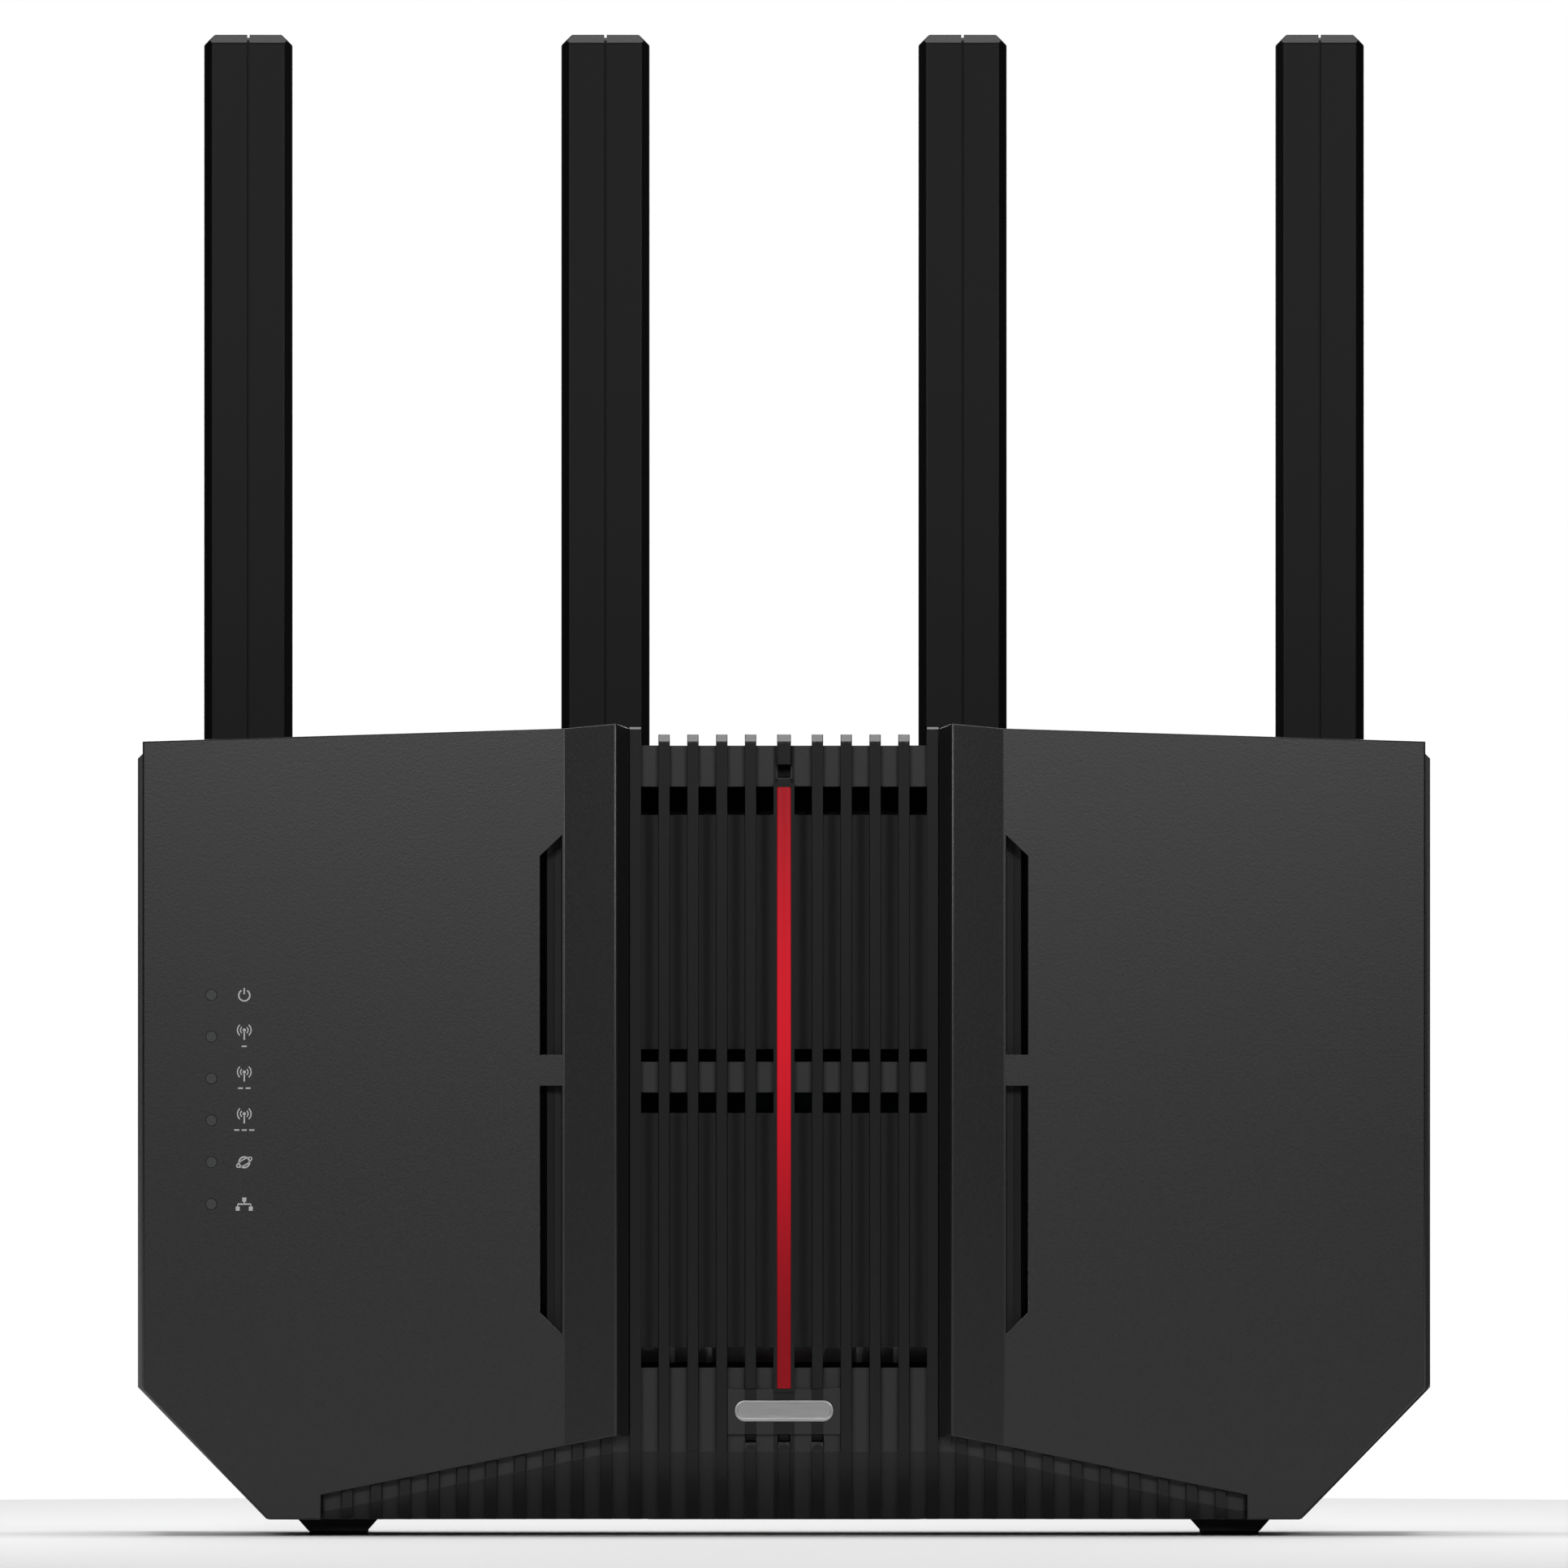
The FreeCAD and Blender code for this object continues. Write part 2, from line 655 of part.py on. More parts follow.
# ---------------------------------------------------------------- front housing
plate = prism("plate", "XZ", mirrored([
    ("corner_x + flare_low - mitre * wall", "base_z + wall"),
    ("cover_half - wall", "corner_z + flare_side + mitre * wall"),
    ("cover_half - wall", "upper_bay_top + 2")]), ("parting_y", "parting_y + plate_wall"))
grille_half = f"{rib_x(BARS_PER_SIDE - 1)} + bar_width / 2"
block = common(
    "block",
    box("block_body", (f"-({grille_half})", grille_half), ("beam_y", "parting_y"),
        ("crease_z", "crest_z")),
    prism("block_top", "YZ", top_line("crest_z - beam_top_z - top_fall * (beam_y - front_y)",
                                      "beam_y", "parting_y"), ("-pillar_in", "pillar_in")))


def base_volume(name, proud, inset, rear):
    """Everything of the base in front of the cover: swept plan, cut line, sloping lower face."""
    plan = mirrored([("crease_x", f"beam_y - ({proud})"),
                     (f"cut_out_x - ({inset})", f"base_end_y - ({proud})"),
                     (f"cut_out_x - ({inset})", rear)])
    face = mirrored([(f"cut_out_x - ({inset})", f"base_z + ({inset})"),
                     (f"cut_out_x - ({inset})", f"cut_out_z - ({inset})"),
                     ("crease_x", f"cut_in_z - ({inset})")])

    edge = f"beam_y - ({proud})"
    section = [(edge, "crease_z"), (f"{edge} + undercut * {FAR}", f"crease_z - {FAR}"),
               (f"-{FAR}", f"crease_z - {FAR}"), (f"-{FAR}", "crease_z")]
    middle = prism(name + "_undercut", "YZ", section, ("-crease_x", "crease_x"))
    sweep = "(base_end_y - beam_y) / (cut_out_x - crease_x)"
    ends = [slanted(f"{name}_undercut_{side + 1}", "YZ", section, f"{side} * crease_x",
                    (side, sweep, "-crease_fall"), "1.1 * (cut_out_x - crease_x)")
            for side in (-1, 1)]
    solid = common(name + "_solid",
                   prism(name + "_plan", "XY", plan, ("0", "cut_in_z")),
                   prism(name + "_face", "XZ", face, (f"-{FAR}", rear)))
    return cut(name, solid, middle, *ends)


base_shell = base_volume("base_shell", "0", "0", "parting_y")
base_hollow = base_volume("base_hollow", "-skin", "skin", "parting_y + plate_wall + 1")
rib_envelope = base_volume("rib_envelope", "rib_proud", "0", "parting_y")
rib_blanks = [box("rib_blank_middle", ("-rib_width / 2", "rib_width / 2"),
                  (f"-{FAR}", "parting_y"), ("0", "rib_restart"))]
for side in (-1, 1):
    for index in range(RIBS_PER_SIDE):
        x = f"{side} * ({rib_x(index)})"
        top = "rib_restart" if index == 0 else "cut_in_z"
        rib_blanks.append(box(f"rib_blank_{side + 1}_{index}",
                              (f"{x} - rib_width / 2", f"{x} + rib_width / 2"),
                              (f"-{FAR}", "parting_y"), ("0", top)))
ribs = common("ribs", rib_envelope, fuse("rib_blanks", *rib_blanks))


def bar(name, x, half, low, top="bar_top_z", bevel="bar_bevel"):
    """One upright bar that wraps over the top towards the rear."""
    rear_top = f"{top} - top_fall * (parting_y - pillar_y - {bevel})"
    return prism(name, "YZ", [
        ("pillar_y", low), ("pillar_y", f"{top} - {bevel}"),
        (f"pillar_y + {bevel}", top), ("parting_y", rear_top),
        ("parting_y", "upper_bay_top + 3"), ("pillar_y + bar_depth", "upper_bay_top + 3"),
        ("pillar_y + bar_depth", low)], (f"{x} - {half}", f"{x} + {half}"))


bars = [bar("bar_middle", "0", "middle_bar_half", "strip_high")]
for side in (-1, 1):
    for index in range(BARS_PER_SIDE):
        low = "strip_low" if index == 0 else "crease_z"
        crown = ("edge_bar_top_z", "edge_bar_bevel") if index == BARS_PER_SIDE - 1 else ()
        bars.append(bar(f"bar_{side + 1}_{index}", f"{side} * ({rib_x(index)})", "bar_width / 2",
                        low, *crown))
strip_frame = box("strip_frame", ("-frame_half", "frame_half"),
                  ("pillar_y", "panel_y + panel_wall"), ("strip_low - 0.7", "strip_high + 0.7"))
land = box("land", ("-land_half", "land_half"), ("land_y", "beam_y + 1"), ("land_low", "land_high"))
blades = [box(f"vent_blade_{side + 1}", spread("vent_in_x", "vent_blade_out", side),
              ("vent_blade_y", "parting_y"), ("vent_low_z - vent_splay", "vent_high_z + vent_splay"))
          for side in (-1, 1)]
posts = [cylinder(f"post_{index}", "y", (f"{side} * post_x", z), "post_radius",
                  ("parting_y", f"{POST_REAR[z]} - wall"))
         for index, (side, z) in enumerate(POSTS, start=1)]


def bay(name, half, y, low, high):
    return box(name, (f"-{half}", half), y, (low, high))


recesses = [
    bay("upper_recess", "bay_half", ("beam_y - 1", "panel_y"), "upper_bay_low", "upper_bay_top"),
    bay("lower_recess", "bay_half", ("beam_y - 1", "panel_y"), "lower_bay_low", "lower_bay_top"),
]
through = ("beam_y - 1", "parting_y + plate_wall + 1")
behind = ("panel_y + panel_wall", "parting_y + plate_wall + 1")
gaps = [
    bay("gap_top", "bay_half", through, "upper_panel_top", "upper_bay_top"),
    bay("gap_above_middle", "bay_half", through, "upper_bay_low", "upper_panel_low"),
    bay("gap_below_middle", "bay_half", through, "lower_panel_top", "lower_bay_top"),
    bay("gap_bottom", "bay_half", through, "lower_bay_low", "lower_panel_low"),
    bay("upper_hollow", "bay_half", behind, "upper_panel_low", "upper_panel_top"),
    bay("lower_hollow", "bay_half", behind, "lower_panel_low", "lower_panel_top"),
    bay("beam_hollow", "bay_half", ("beam_y + skin", "parting_y + plate_wall + 1"),
        "crease_z + skin", "lower_bay_low - skin"),
]
strip_channel = box("strip_channel", ("-strip_half", "strip_half"),
                    ("pillar_y - 1", "panel_y + panel_wall"), ("strip_low", "strip_high"))
peep = box("peep", ("-middle_bar_half - 1", "middle_bar_half + 1"), ("pillar_y - 1", "beam_y"),
           ("peep_low", "peep_high"))
peep_pocket = box("peep_pocket", ("-middle_bar_half", "middle_bar_half"), ("pillar_y", "panel_y"),
                  ("peep_low", "peep_high"))
strip_board_pocket = box(
    "strip_board_pocket",
    ("-strip_board_half - strip_board_gap", "strip_board_half + strip_board_gap"),
    ("panel_y + panel_wall", "parting_y + plate_wall + 1"),
    ("strip_low + strip_board_inset - strip_board_gap",
     "strip_high - strip_board_inset + strip_board_gap"))
notches = [box(f"notch_{side + 1}", (f"{side} * bar_first - bar_width / 2",
                                     f"{side} * bar_first + bar_width / 2"),
               ("front_y", "notch_y"), ("rib_restart", "land_low")) for side in (-1, 0, 1)]
restart_slope = prism("restart_slope", "YZ", [
    ("beam_y - rib_proud - restart_bevel", "rib_restart - 2 * restart_bevel"),
    ("beam_y - rib_proud + restart_bevel", "rib_restart"),
    ("beam_y - rib_proud - restart_bevel", "rib_restart")],
    ("-bar_first - bar_width", "bar_first + bar_width"))
carrier_window = box("carrier_window", ("status_x - carrier_half", "status_x + carrier_half"),
                     ("parting_y", "parting_y + plate_wall"),
                     ("status_low_z - carrier_over",
                      f"status_low_z + status_pitch * {STATUS_LIGHTS - 1} + carrier_over"))
post_pilots = [cylinder(f"post_pilot_{index}", "y", (f"{side} * post_x", z), "screw_radius",
                        (f"{POST_REAR[z]} - wall - shank_reach", f"{POST_REAR[z]} - wall + 1"))
               for index, (side, z) in enumerate(POSTS, start=1)]
carcass = cut("carcass", fuse("carcass_solid", plate, block, base_shell, *blades, *posts),
              *recesses, *gaps, base_hollow)
node(cut("front_housing", fuse("front_solid", carcass, ribs, *bars, strip_frame, land),
         strip_channel, strip_board_pocket, peep, peep_pocket, *notches, restart_slope,
         carrier_window, *post_pilots), "front_housing")

# ---------------------------------------------------------------- light strip and name plate
node(box("accent_strip", ("-strip_half", "strip_half"), ("strip_y", "panel_y + panel_wall"),
         ("strip_low", "strip_high")), "accent_strip")
node(box("accent_led_board", ("-strip_board_half", "strip_board_half"),
         ("panel_y + panel_wall", "panel_y + panel_wall + small_board"),
         ("strip_low + strip_board_inset", "strip_high - strip_board_inset")), "accent_led_board")
badge_ends = [cylinder(f"badge_end_{side + 1}", "y",
                       (f"{side} * (badge_half - badge_height / 2)", "badge_z"),
                       "badge_height / 2", ("land_y - badge_wall", "land_y")) for side in (-1, 1)]
badge_middle = box("badge_middle",
                   ("badge_height / 2 - badge_half", "badge_half - badge_height / 2"),
                   ("land_y - badge_wall", "land_y"),
                   ("badge_z - badge_height / 2", "badge_z + badge_height / 2"))
node(fuse("badge_plate", badge_middle, *badge_ends), "badge_plate")

# ---------------------------------------------------------------- status lights
status_top = f"status_low_z + status_pitch * {STATUS_LIGHTS - 1} + carrier_over"
status_span = ("status_low_z - carrier_over", status_top)
pipes = [cylinder(f"light_pipe_{index}", "y",
                  ("status_x", f"status_low_z + status_pitch * {index}"),
                  "status_radius", ("status_face_y", "parting_y + plate_wall"))
         for index in range(STATUS_LIGHTS)]
carrier = box("carrier", ("status_x - carrier_half", "status_x + carrier_half"),
              ("parting_y", "parting_y + plate_wall"), status_span)
node(fuse("status_light_pipes", carrier, *pipes), "status_light_pipes")
node(box("status_led_board", ("status_x - 2 * carrier_half", "status_x + 2 * carrier_half"),
         ("parting_y + plate_wall", "parting_y + plate_wall + small_board"),
         ("status_low_z - 2 * carrier_over", f"{status_top} + carrier_over")), "status_led_board")

# ---------------------------------------------------------------- sockets
board_rear = "board_y + board_wall"


def socket_body(name, x, half, high_half):
    return box(name, (f"{x} - {half}", f"{x} + {half}"), (board_rear, "socket_front"),
               (f"socket_z - {high_half}", f"socket_z + {high_half}"))


def jack_mouth(name, x):
    depth = ("socket_front - jack_mouth_depth", "socket_front + 1")
    return [
        box(name + "_mouth", (f"{x} - jack_mouth_half", f"{x} + jack_mouth_half"), depth,
            ("socket_z - jack_mouth_low", "socket_z + jack_mouth_high")),
        box(name + "_key", (f"{x} - jack_key_half", f"{x} + jack_key_half"), depth,
            ("socket_z", "socket_z + jack_mouth_high + jack_key_high")),
    ]


node(cut("wan_jack", socket_body("wan_body", "wan_x", "jack_half", "jack_high_half"),
         *jack_mouth("wan", "wan_x")), "wan_jack")
lan_mouths = []
for step in ANTENNA_STEPS:
    lan_mouths += jack_mouth(f"lan_{ANTENNA_STEPS.index(step) + 1}", f"lan_x + {step} * jack_pitch")
node(cut("lan_jacks", socket_body("lan_body", "lan_x", "(jack_half + 1.5 * jack_pitch)",
                                  "jack_high_half"), *lan_mouths), "lan_jacks")

usb_mouth = box("usb_mouth", ("usb_x - usb_half + usb_metal", "usb_x + usb_half - usb_metal"),
                ("socket_front - usb_depth", "socket_front + 1"),
                ("socket_z - usb_high_half + usb_metal", "socket_z + usb_high_half - usb_metal"))
usb_tongue = box("usb_tongue", ("usb_x - usb_tongue_half", "usb_x + usb_tongue_half"),
                 ("socket_front - usb_depth - 1", "socket_front - 1"),
                 ("socket_z + usb_metal", "socket_z + usb_metal + usb_tongue_high"))
node(fuse("usb_socket", cut("usb_shell", socket_body("usb_body", "usb_x", "usb_half",
                                                     "usb_high_half"), usb_mouth),
          usb_tongue), "usb_socket")

dc_centre = ("dc_x", "socket_z")
dc_bore = cylinder("dc_bore", "y", dc_centre, "dc_hole",
                   ("socket_front - dc_depth", "socket_front + 1"))
dc_contact = cylinder("dc_contact", "y", dc_centre, "dc_pin",
                      ("socket_front - dc_depth - 1", "socket_front - 1"))
node(fuse("dc_socket", cut("dc_shell", socket_body("dc_body", "dc_x", "dc_half", "dc_high_half"),
                           dc_bore), dc_contact), "dc_socket")

# ---------------------------------------------------------------- buttons and switches
def switch(label, x, front, bore):
    """A tall switch on the board with a guide bore for the stem that works it."""
    body = box(label + "_body", (f"{x} - switch_half", f"{x} + switch_half"), (board_rear, front),
               ("socket_z - switch_half", "socket_z + switch_half"))
    return node(cut(label, body, bore), label)


def square_stem(name, x, half, span):
    return box(name, (f"{x} - {half}", f"{x} + {half}"), span,
               (f"socket_z - {half}", f"socket_z + {half}"))


def guided(label, x, cap, flange):
    """A button: cap through the wall, flange behind it, stem into its switch."""
    stem = square_stem(label + "_stem", x, "stem_half", ("stem_end_y", "flange_y"))
    return node(fuse(label, cap, flange, stem), label)


flange_span = ("flange_y - flange_wall", "flange_y")
power_cap = box("power_cap", ("power_x - power_half", "power_x + power_half"),
                ("flange_y", "power_out_y"),
                ("socket_z - power_high_half", "socket_z + power_high_half"))
power_flange = box("power_flange",
                   ("power_x - power_half - flange_wide", "power_x + power_half + flange_wide"),
                   flange_span,
                   ("socket_z - power_high_half - flange_wide",
                    "socket_z + power_high_half + flange_wide"))
guided("power_button", "power_x", power_cap, power_flange)
pair_cap = cylinder("pair_cap", "y", ("pair_x", "socket_z"), "pair_radius", ("flange_y", "pair_out_y"))
pair_flange = cylinder("pair_flange", "y", ("pair_x", "socket_z"), "pair_radius + flange_wide",
                       flange_span)
guided("pairing_button", "pair_x", pair_cap, pair_flange)
for label, x in (("power_switch", "power_x"), ("pairing_switch", "pair_x")):
    switch(label, x, "power_switch_y",
           square_stem(label + "_bore", x, "(stem_half + button_clear)",
                       ("switch_bore_y", "power_switch_y + 1")))
node(cylinder("reset_plunger", "y", ("reset_x", "socket_z"), "reset_radius",
              ("reset_low_y", "reset_out_y")), "reset_plunger")
switch("reset_switch", "reset_x", "reset_switch_y",
       cylinder("reset_bore", "y", ("reset_x", "socket_z"), "reset_radius + pair_gap",
                ("switch_bore_y", "reset_switch_y + 1")))

# ---------------------------------------------------------------- boards and their parts
board_blank = box("board_blank", ("-board_half", "board_half"), ("board_y", board_rear),
                  ("board_low", "board_high"))
board_holes = [cylinder(f"board_hole_{index}", "y", centre, "board_hole",
                        ("board_y - 1", f"{board_rear} + 1"))
               for index, centre in enumerate(BOARD_HOLES, start=1)]
node(cut("main_board", board_blank, *board_holes), "main_board")


def screw(name, centre, seat, radius, tip, head_radius, head_face):
    """A screw along Y: shank from seat to tip, head from seat to its outer face."""
    ends = sorted((seat, tip), key=size_of)
    head = sorted((seat, head_face), key=size_of)
    return fuse(name, cylinder(name + "_shank", "y", centre, radius, ends),
                cylinder(name + "_head", "y", centre, head_radius, head))


node(group("board_screws", *[
    screw(f"board_screw_{index}", centre, "board_y", "screw_radius",
          f"{board_rear} + screw_reach", "screw_head", "board_y - screw_head_high")
    for index, centre in enumerate(BOARD_HOLES, start=1)]), "board_screws")
node(group("housing_screws", *[
    screw(f"housing_screw_{index}", (f"{side} * post_x", z), f"{POST_REAR[z]} - head_recess",
          "screw_radius", f"{POST_REAR[z]} - wall - shank_reach", "head_radius", POST_REAR[z])
    for index, (side, z) in enumerate(POSTS, start=1)]), "housing_screws")

chips = []
pads = []
for side in (-1, 0, 1):
    x_span = (f"{side} * chip_x - chip_half", f"{side} * chip_x + chip_half")
    z_span = ("chip_z - chip_half", "chip_z + chip_half")
    chips.append(box(f"chip_{side + 1}", x_span, ("board_y - chip_high", "board_y"), z_span))
    pads.append(box(f"pad_{side + 1}", x_span, ("board_y - chip_high - pad_high",
                                               "board_y - chip_high"), z_span))
node(group("processor_chips", *chips), "processor_chips")
node(group("thermal_pads", *pads), "thermal_pads")
sink_face = "board_y - chip_high - pad_high"
sink_fins = [box(f"sink_fin_{index}",
                 (f"sink_fin_pitch * {index} - sink_fin_wall / 2",
                  f"sink_fin_pitch * {index} + sink_fin_wall / 2"),
                 (f"{sink_face} - sink_base - sink_fin_high", f"{sink_face} - sink_base"),
                 ("sink_low", "sink_high"))
             for index in range(-(SINK_FINS // 2), SINK_FINS // 2 + 1)]
node(fuse("heat_sink", box("sink_plate", ("-sink_half", "sink_half"),
                           (f"{sink_face} - sink_base", sink_face), ("sink_low", "sink_high")),
          *sink_fins), "heat_sink")
node(group("shield_cans", *[
    box(f"shield_can_{side + 1}", (f"{side} * can_x - can_half", f"{side} * can_x + can_half"),
        (board_rear, f"{board_rear} + can_deep"), ("can_low", "can_high")) for side in (-1, 0, 1)]),
     "shield_cans")
node(group("board_components", *[
    box(f"coil_{index}", (f"part_wide * {index} * 3 - part_wide", f"part_wide * {index} * 3 + part_wide"),
        (board_rear, f"{board_rear} + part_deep"), ("part_low - part_wide", "part_low"))
    for index in range(-6, 7)]), "board_components")

coax_sockets = []
coax_leads = []
for index, step in enumerate(ANTENNA_STEPS, start=1):
    x = f"{step} * antenna_pitch"
    plug_y = f"{board_rear} + coax_socket_high"
    coax_sockets.append(cylinder(f"coax_socket_{index}", "y", (x, "coax_z"), "coax_socket_half",
                                 (board_rear, plug_y)))
    coax_leads.append(fuse(
        f"coax_lead_{index}",
        cylinder(f"coax_back_{index}", "y", (x, "coax_z"), "coax_radius",
                 (plug_y, "antenna_y - coax_bend")),
        elbow(f"coax_bend_{index}", x, "antenna_y - coax_bend", "coax_z + coax_bend",
              "coax_bend", "coax_radius"),
        cylinder(f"coax_up_{index}", "z", (x, "antenna_y"), "coax_radius",
                 ("coax_z + coax_bend", "spigot_low"))))
node(group("coax_sockets", *coax_sockets), "coax_sockets")
node(group("coax_leads", *coax_leads), "coax_leads")

# ---------------------------------------------------------------- feet and label
foot_pads = []
for side, label in ((-1, "foot_runner_left"), (1, "foot_runner_right")):
    node(prism(label, "XZ", [
        (f"{side} * foot_x - foot_low_half", "foot_pad"), (f"{side} * foot_x + foot_low_half", "foot_pad"),
        (f"{side} * foot_x + foot_top_half", "base_z"), (f"{side} * foot_x - foot_top_half", "base_z")],
        ("foot_front", "foot_rear")), label)
    foot_pads.append(box(f"foot_pad_{side + 1}",
                         (f"{side} * foot_x - pad_half", f"{side} * foot_x + pad_half"),
                         ("foot_front + pad_inset", "foot_rear - pad_inset"), ("0", "foot_pad")))
node(group("foot_pads", *foot_pads), "foot_pads")
node(box("rating_label", ("-label_half", "label_half"), ("label_front", "label_rear"),
         ("base_z - label_wall", "base_z")), "rating_label")

# ---------------------------------------------------------------- antennas
# Drawn about the hinge pin: x and y across, z up the paddle; then moved to each mount.
PIN_CENTRE = ("0", "0")


def paddle_volume(name):
    face = mirrored([("paddle_half", "0"), ("paddle_half", "paddle_top - paddle_corner"),
                     ("paddle_half - paddle_corner", "paddle_top")])
    edge = "paddle_half - paddle_side_bevel"
    cheek = "paddle_thick_half - paddle_bevel_depth"
    plan = [(f"-({edge})", "-paddle_thick_half"), (edge, "-paddle_thick_half"),
            ("paddle_half", f"-({cheek})"), ("paddle_half", cheek), (edge, "paddle_thick_half"),
            (f"-({edge})", "paddle_thick_half"), ("-paddle_half", cheek), ("-paddle_half", f"-({cheek})")]
    profile = [("-paddle_thick_half", "0"), ("paddle_thick_half", "0"),
               ("paddle_thick_half", "paddle_top - paddle_top_bevel"), (cheek, "paddle_top"),
               (f"-({cheek})", "paddle_top"), ("-paddle_thick_half", "paddle_top - paddle_top_bevel")]
    blade = common(
        name + "_blade",
        prism(name + "_face", "XZ", face, ("-paddle_thick_half", "paddle_thick_half")),
        prism(name + "_plan", "XY", plan, ("0", "paddle_top")),
        prism(name + "_profile", "YZ", profile, ("-paddle_half", "paddle_half")))
    knuckle = cylinder(name + "_knuckle", "x", PIN_CENTRE, "knuckle_radius",
                       (f"-({edge})", edge))
    fork = box(name + "_fork", ("-tongue_half - fork_gap", "tongue_half + fork_gap"),
               ("-2 * knuckle_radius", "2 * knuckle_radius"), ("-2 * knuckle_radius", "fork_depth"))
    cavity = box(name + "_cavity", ("-cavity_half", "cavity_half"),
                 ("-cavity_thick_half", "cavity_thick_half"), ("cavity_low", "cavity_high"))
    bore = cylinder(name + "_bore", "x", PIN_CENTRE, "pin_radius", ("-pin_half", "pin_half"))
    return cut(name, fuse(name + "_whole", blade, knuckle), fork, cavity, bore)


for index, step in enumerate(ANTENNA_STEPS, start=1):
    tag = f"antenna_{index}"
    at_hinge = {"x": f"{step} * antenna_pitch", "y": "antenna_y", "z": "hinge_z"}
    paddle = paddle_volume(tag + "_paddle")
    for half, low, high in (("front_shell", "-2 * paddle_thick_half", "0"),
                            ("rear_shell", "0", "2 * paddle_thick_half")):
        name = f"{tag}_{half}"
        window = box(name + "_window", ("-2 * paddle_half", "2 * paddle_half"), (low, high),
                     ("-2 * knuckle_radius", "2 * paddle_top"))
        inner = (("-cavity_thick_half", "-element_thick_half") if half == "front_shell"
                 else ("element_thick_half", "cavity_thick_half"))
        ribs_inside = [box(f"{name}_rib_{place}", ("-cavity_half", "cavity_half"), inner,
                           (f"element_low + {share} * (element_high - element_low) - paddle_rib_half",
                            f"element_low + {share} * (element_high - element_low) + paddle_rib_half"))
                       for place, share in enumerate(PADDLE_RIBS)]
        shell = fuse(name + "_ribbed", common(name + "_half", paddle, window), *ribs_inside)
        slit = box(name + "_slit", ("-slit_half", "slit_half"),
                   ("-2 * paddle_thick_half", "slit_depth - paddle_thick_half"),
                   ("-2 * knuckle_radius", "2 * paddle_top"))
        notch = box(name + "_notch", ("-slit_half", "slit_half"), (low, high),
                    ("paddle_top - slit_depth", "2 * paddle_top"))
        tools = (slit, notch) if half == "front_shell" else (notch,)
        node(cut(name, shell, *tools), name, at_hinge)
    node(box(tag + "_element", ("-element_half", "element_half"),
             ("-element_thick_half", "element_thick_half"), ("element_low", "element_high")),
         tag + "_element", {**at_hinge, "x": f"{step} * antenna_pitch - element_half",
                            "y": "antenna_y - element_thick_half", "z": "hinge_z + element_low"})
    node(cylinder(tag + "_hinge_pin", "x", PIN_CENTRE, "pin_radius", ("-pin_half", "pin_half")),
         tag + "_hinge_pin", {"x": f"{step} * antenna_pitch - pin_half", "y": "antenna_y",
                              "z": "hinge_z"})

    seat = "tower_top - hinge_z"
    shoulder = f"{seat} + turret_high"
    disc = cylinder(tag + "_disc", "z", PIN_CENTRE, "turret_radius",
                    (seat, f"{shoulder} - turret_chamfer"))
    crown = cone(tag + "_crown", PIN_CENTRE, "turret_radius", "turret_radius - turret_chamfer",
                 (f"{shoulder} - turret_chamfer", shoulder))
    spigot = cylinder(tag + "_spigot", "z", PIN_CENTRE, "spigot_radius", ("spigot_low - hinge_z", seat))
    stalk = box(tag + "_stalk", ("-tongue_half", "tongue_half"), ("-knuckle_radius", "knuckle_radius"),
                (f"{shoulder} - 1", "0"))
    eye = cylinder(tag + "_eye", "x", PIN_CENTRE, "knuckle_radius", ("-tongue_half", "tongue_half"))
    pin_bore = cylinder(tag + "_pin_bore", "x", PIN_CENTRE, "pin_radius + pin_gap",
                        ("-tongue_half - 1", "tongue_half + 1"))
    cable_bore = cylinder(tag + "_cable_bore", "z", PIN_CENTRE, "cable_bore",
                          ("spigot_low - hinge_z - 1", f"{shoulder} - 1"))
    clip_high = "tower_top - tower_floor - clip_gap - hinge_z"
    clip_span = (f"{clip_high} - clip_wall", clip_high)

    def ring(name, outer, inner):
        return cut(name, cylinder(name + "_outer", "z", PIN_CENTRE, outer, clip_span),
                   cylinder(name + "_inner", "z", PIN_CENTRE, inner, clip_span))
    groove = ring(tag + "_groove", "clip_radius", "clip_seat")
    node(cut(tag + "_turret", fuse(tag + "_turret_solid", disc, crown, spigot, stalk, eye),
             pin_bore, cable_bore, groove), tag + "_turret", at_hinge)
    node(ring(tag + "_clip", "clip_radius", "clip_seat"), tag + "_clip", at_hinge)

# ---------------------------------------------------------------- checks and export
doc.recompute()
for item in doc.Objects:
    if "Invalid" in item.State or "Error" in item.State:
        raise RuntimeError(f"{item.Name}: {item.State}")
for item in nodes:
    if item.Shape.isNull() or not item.Shape.isValid():
        raise RuntimeError(f"{item.Label}: empty or invalid shape")
    item.Shape.exportStep(f"parts/{item.Label}.step")
print(len(nodes), "nodes written")
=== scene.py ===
import json
import math

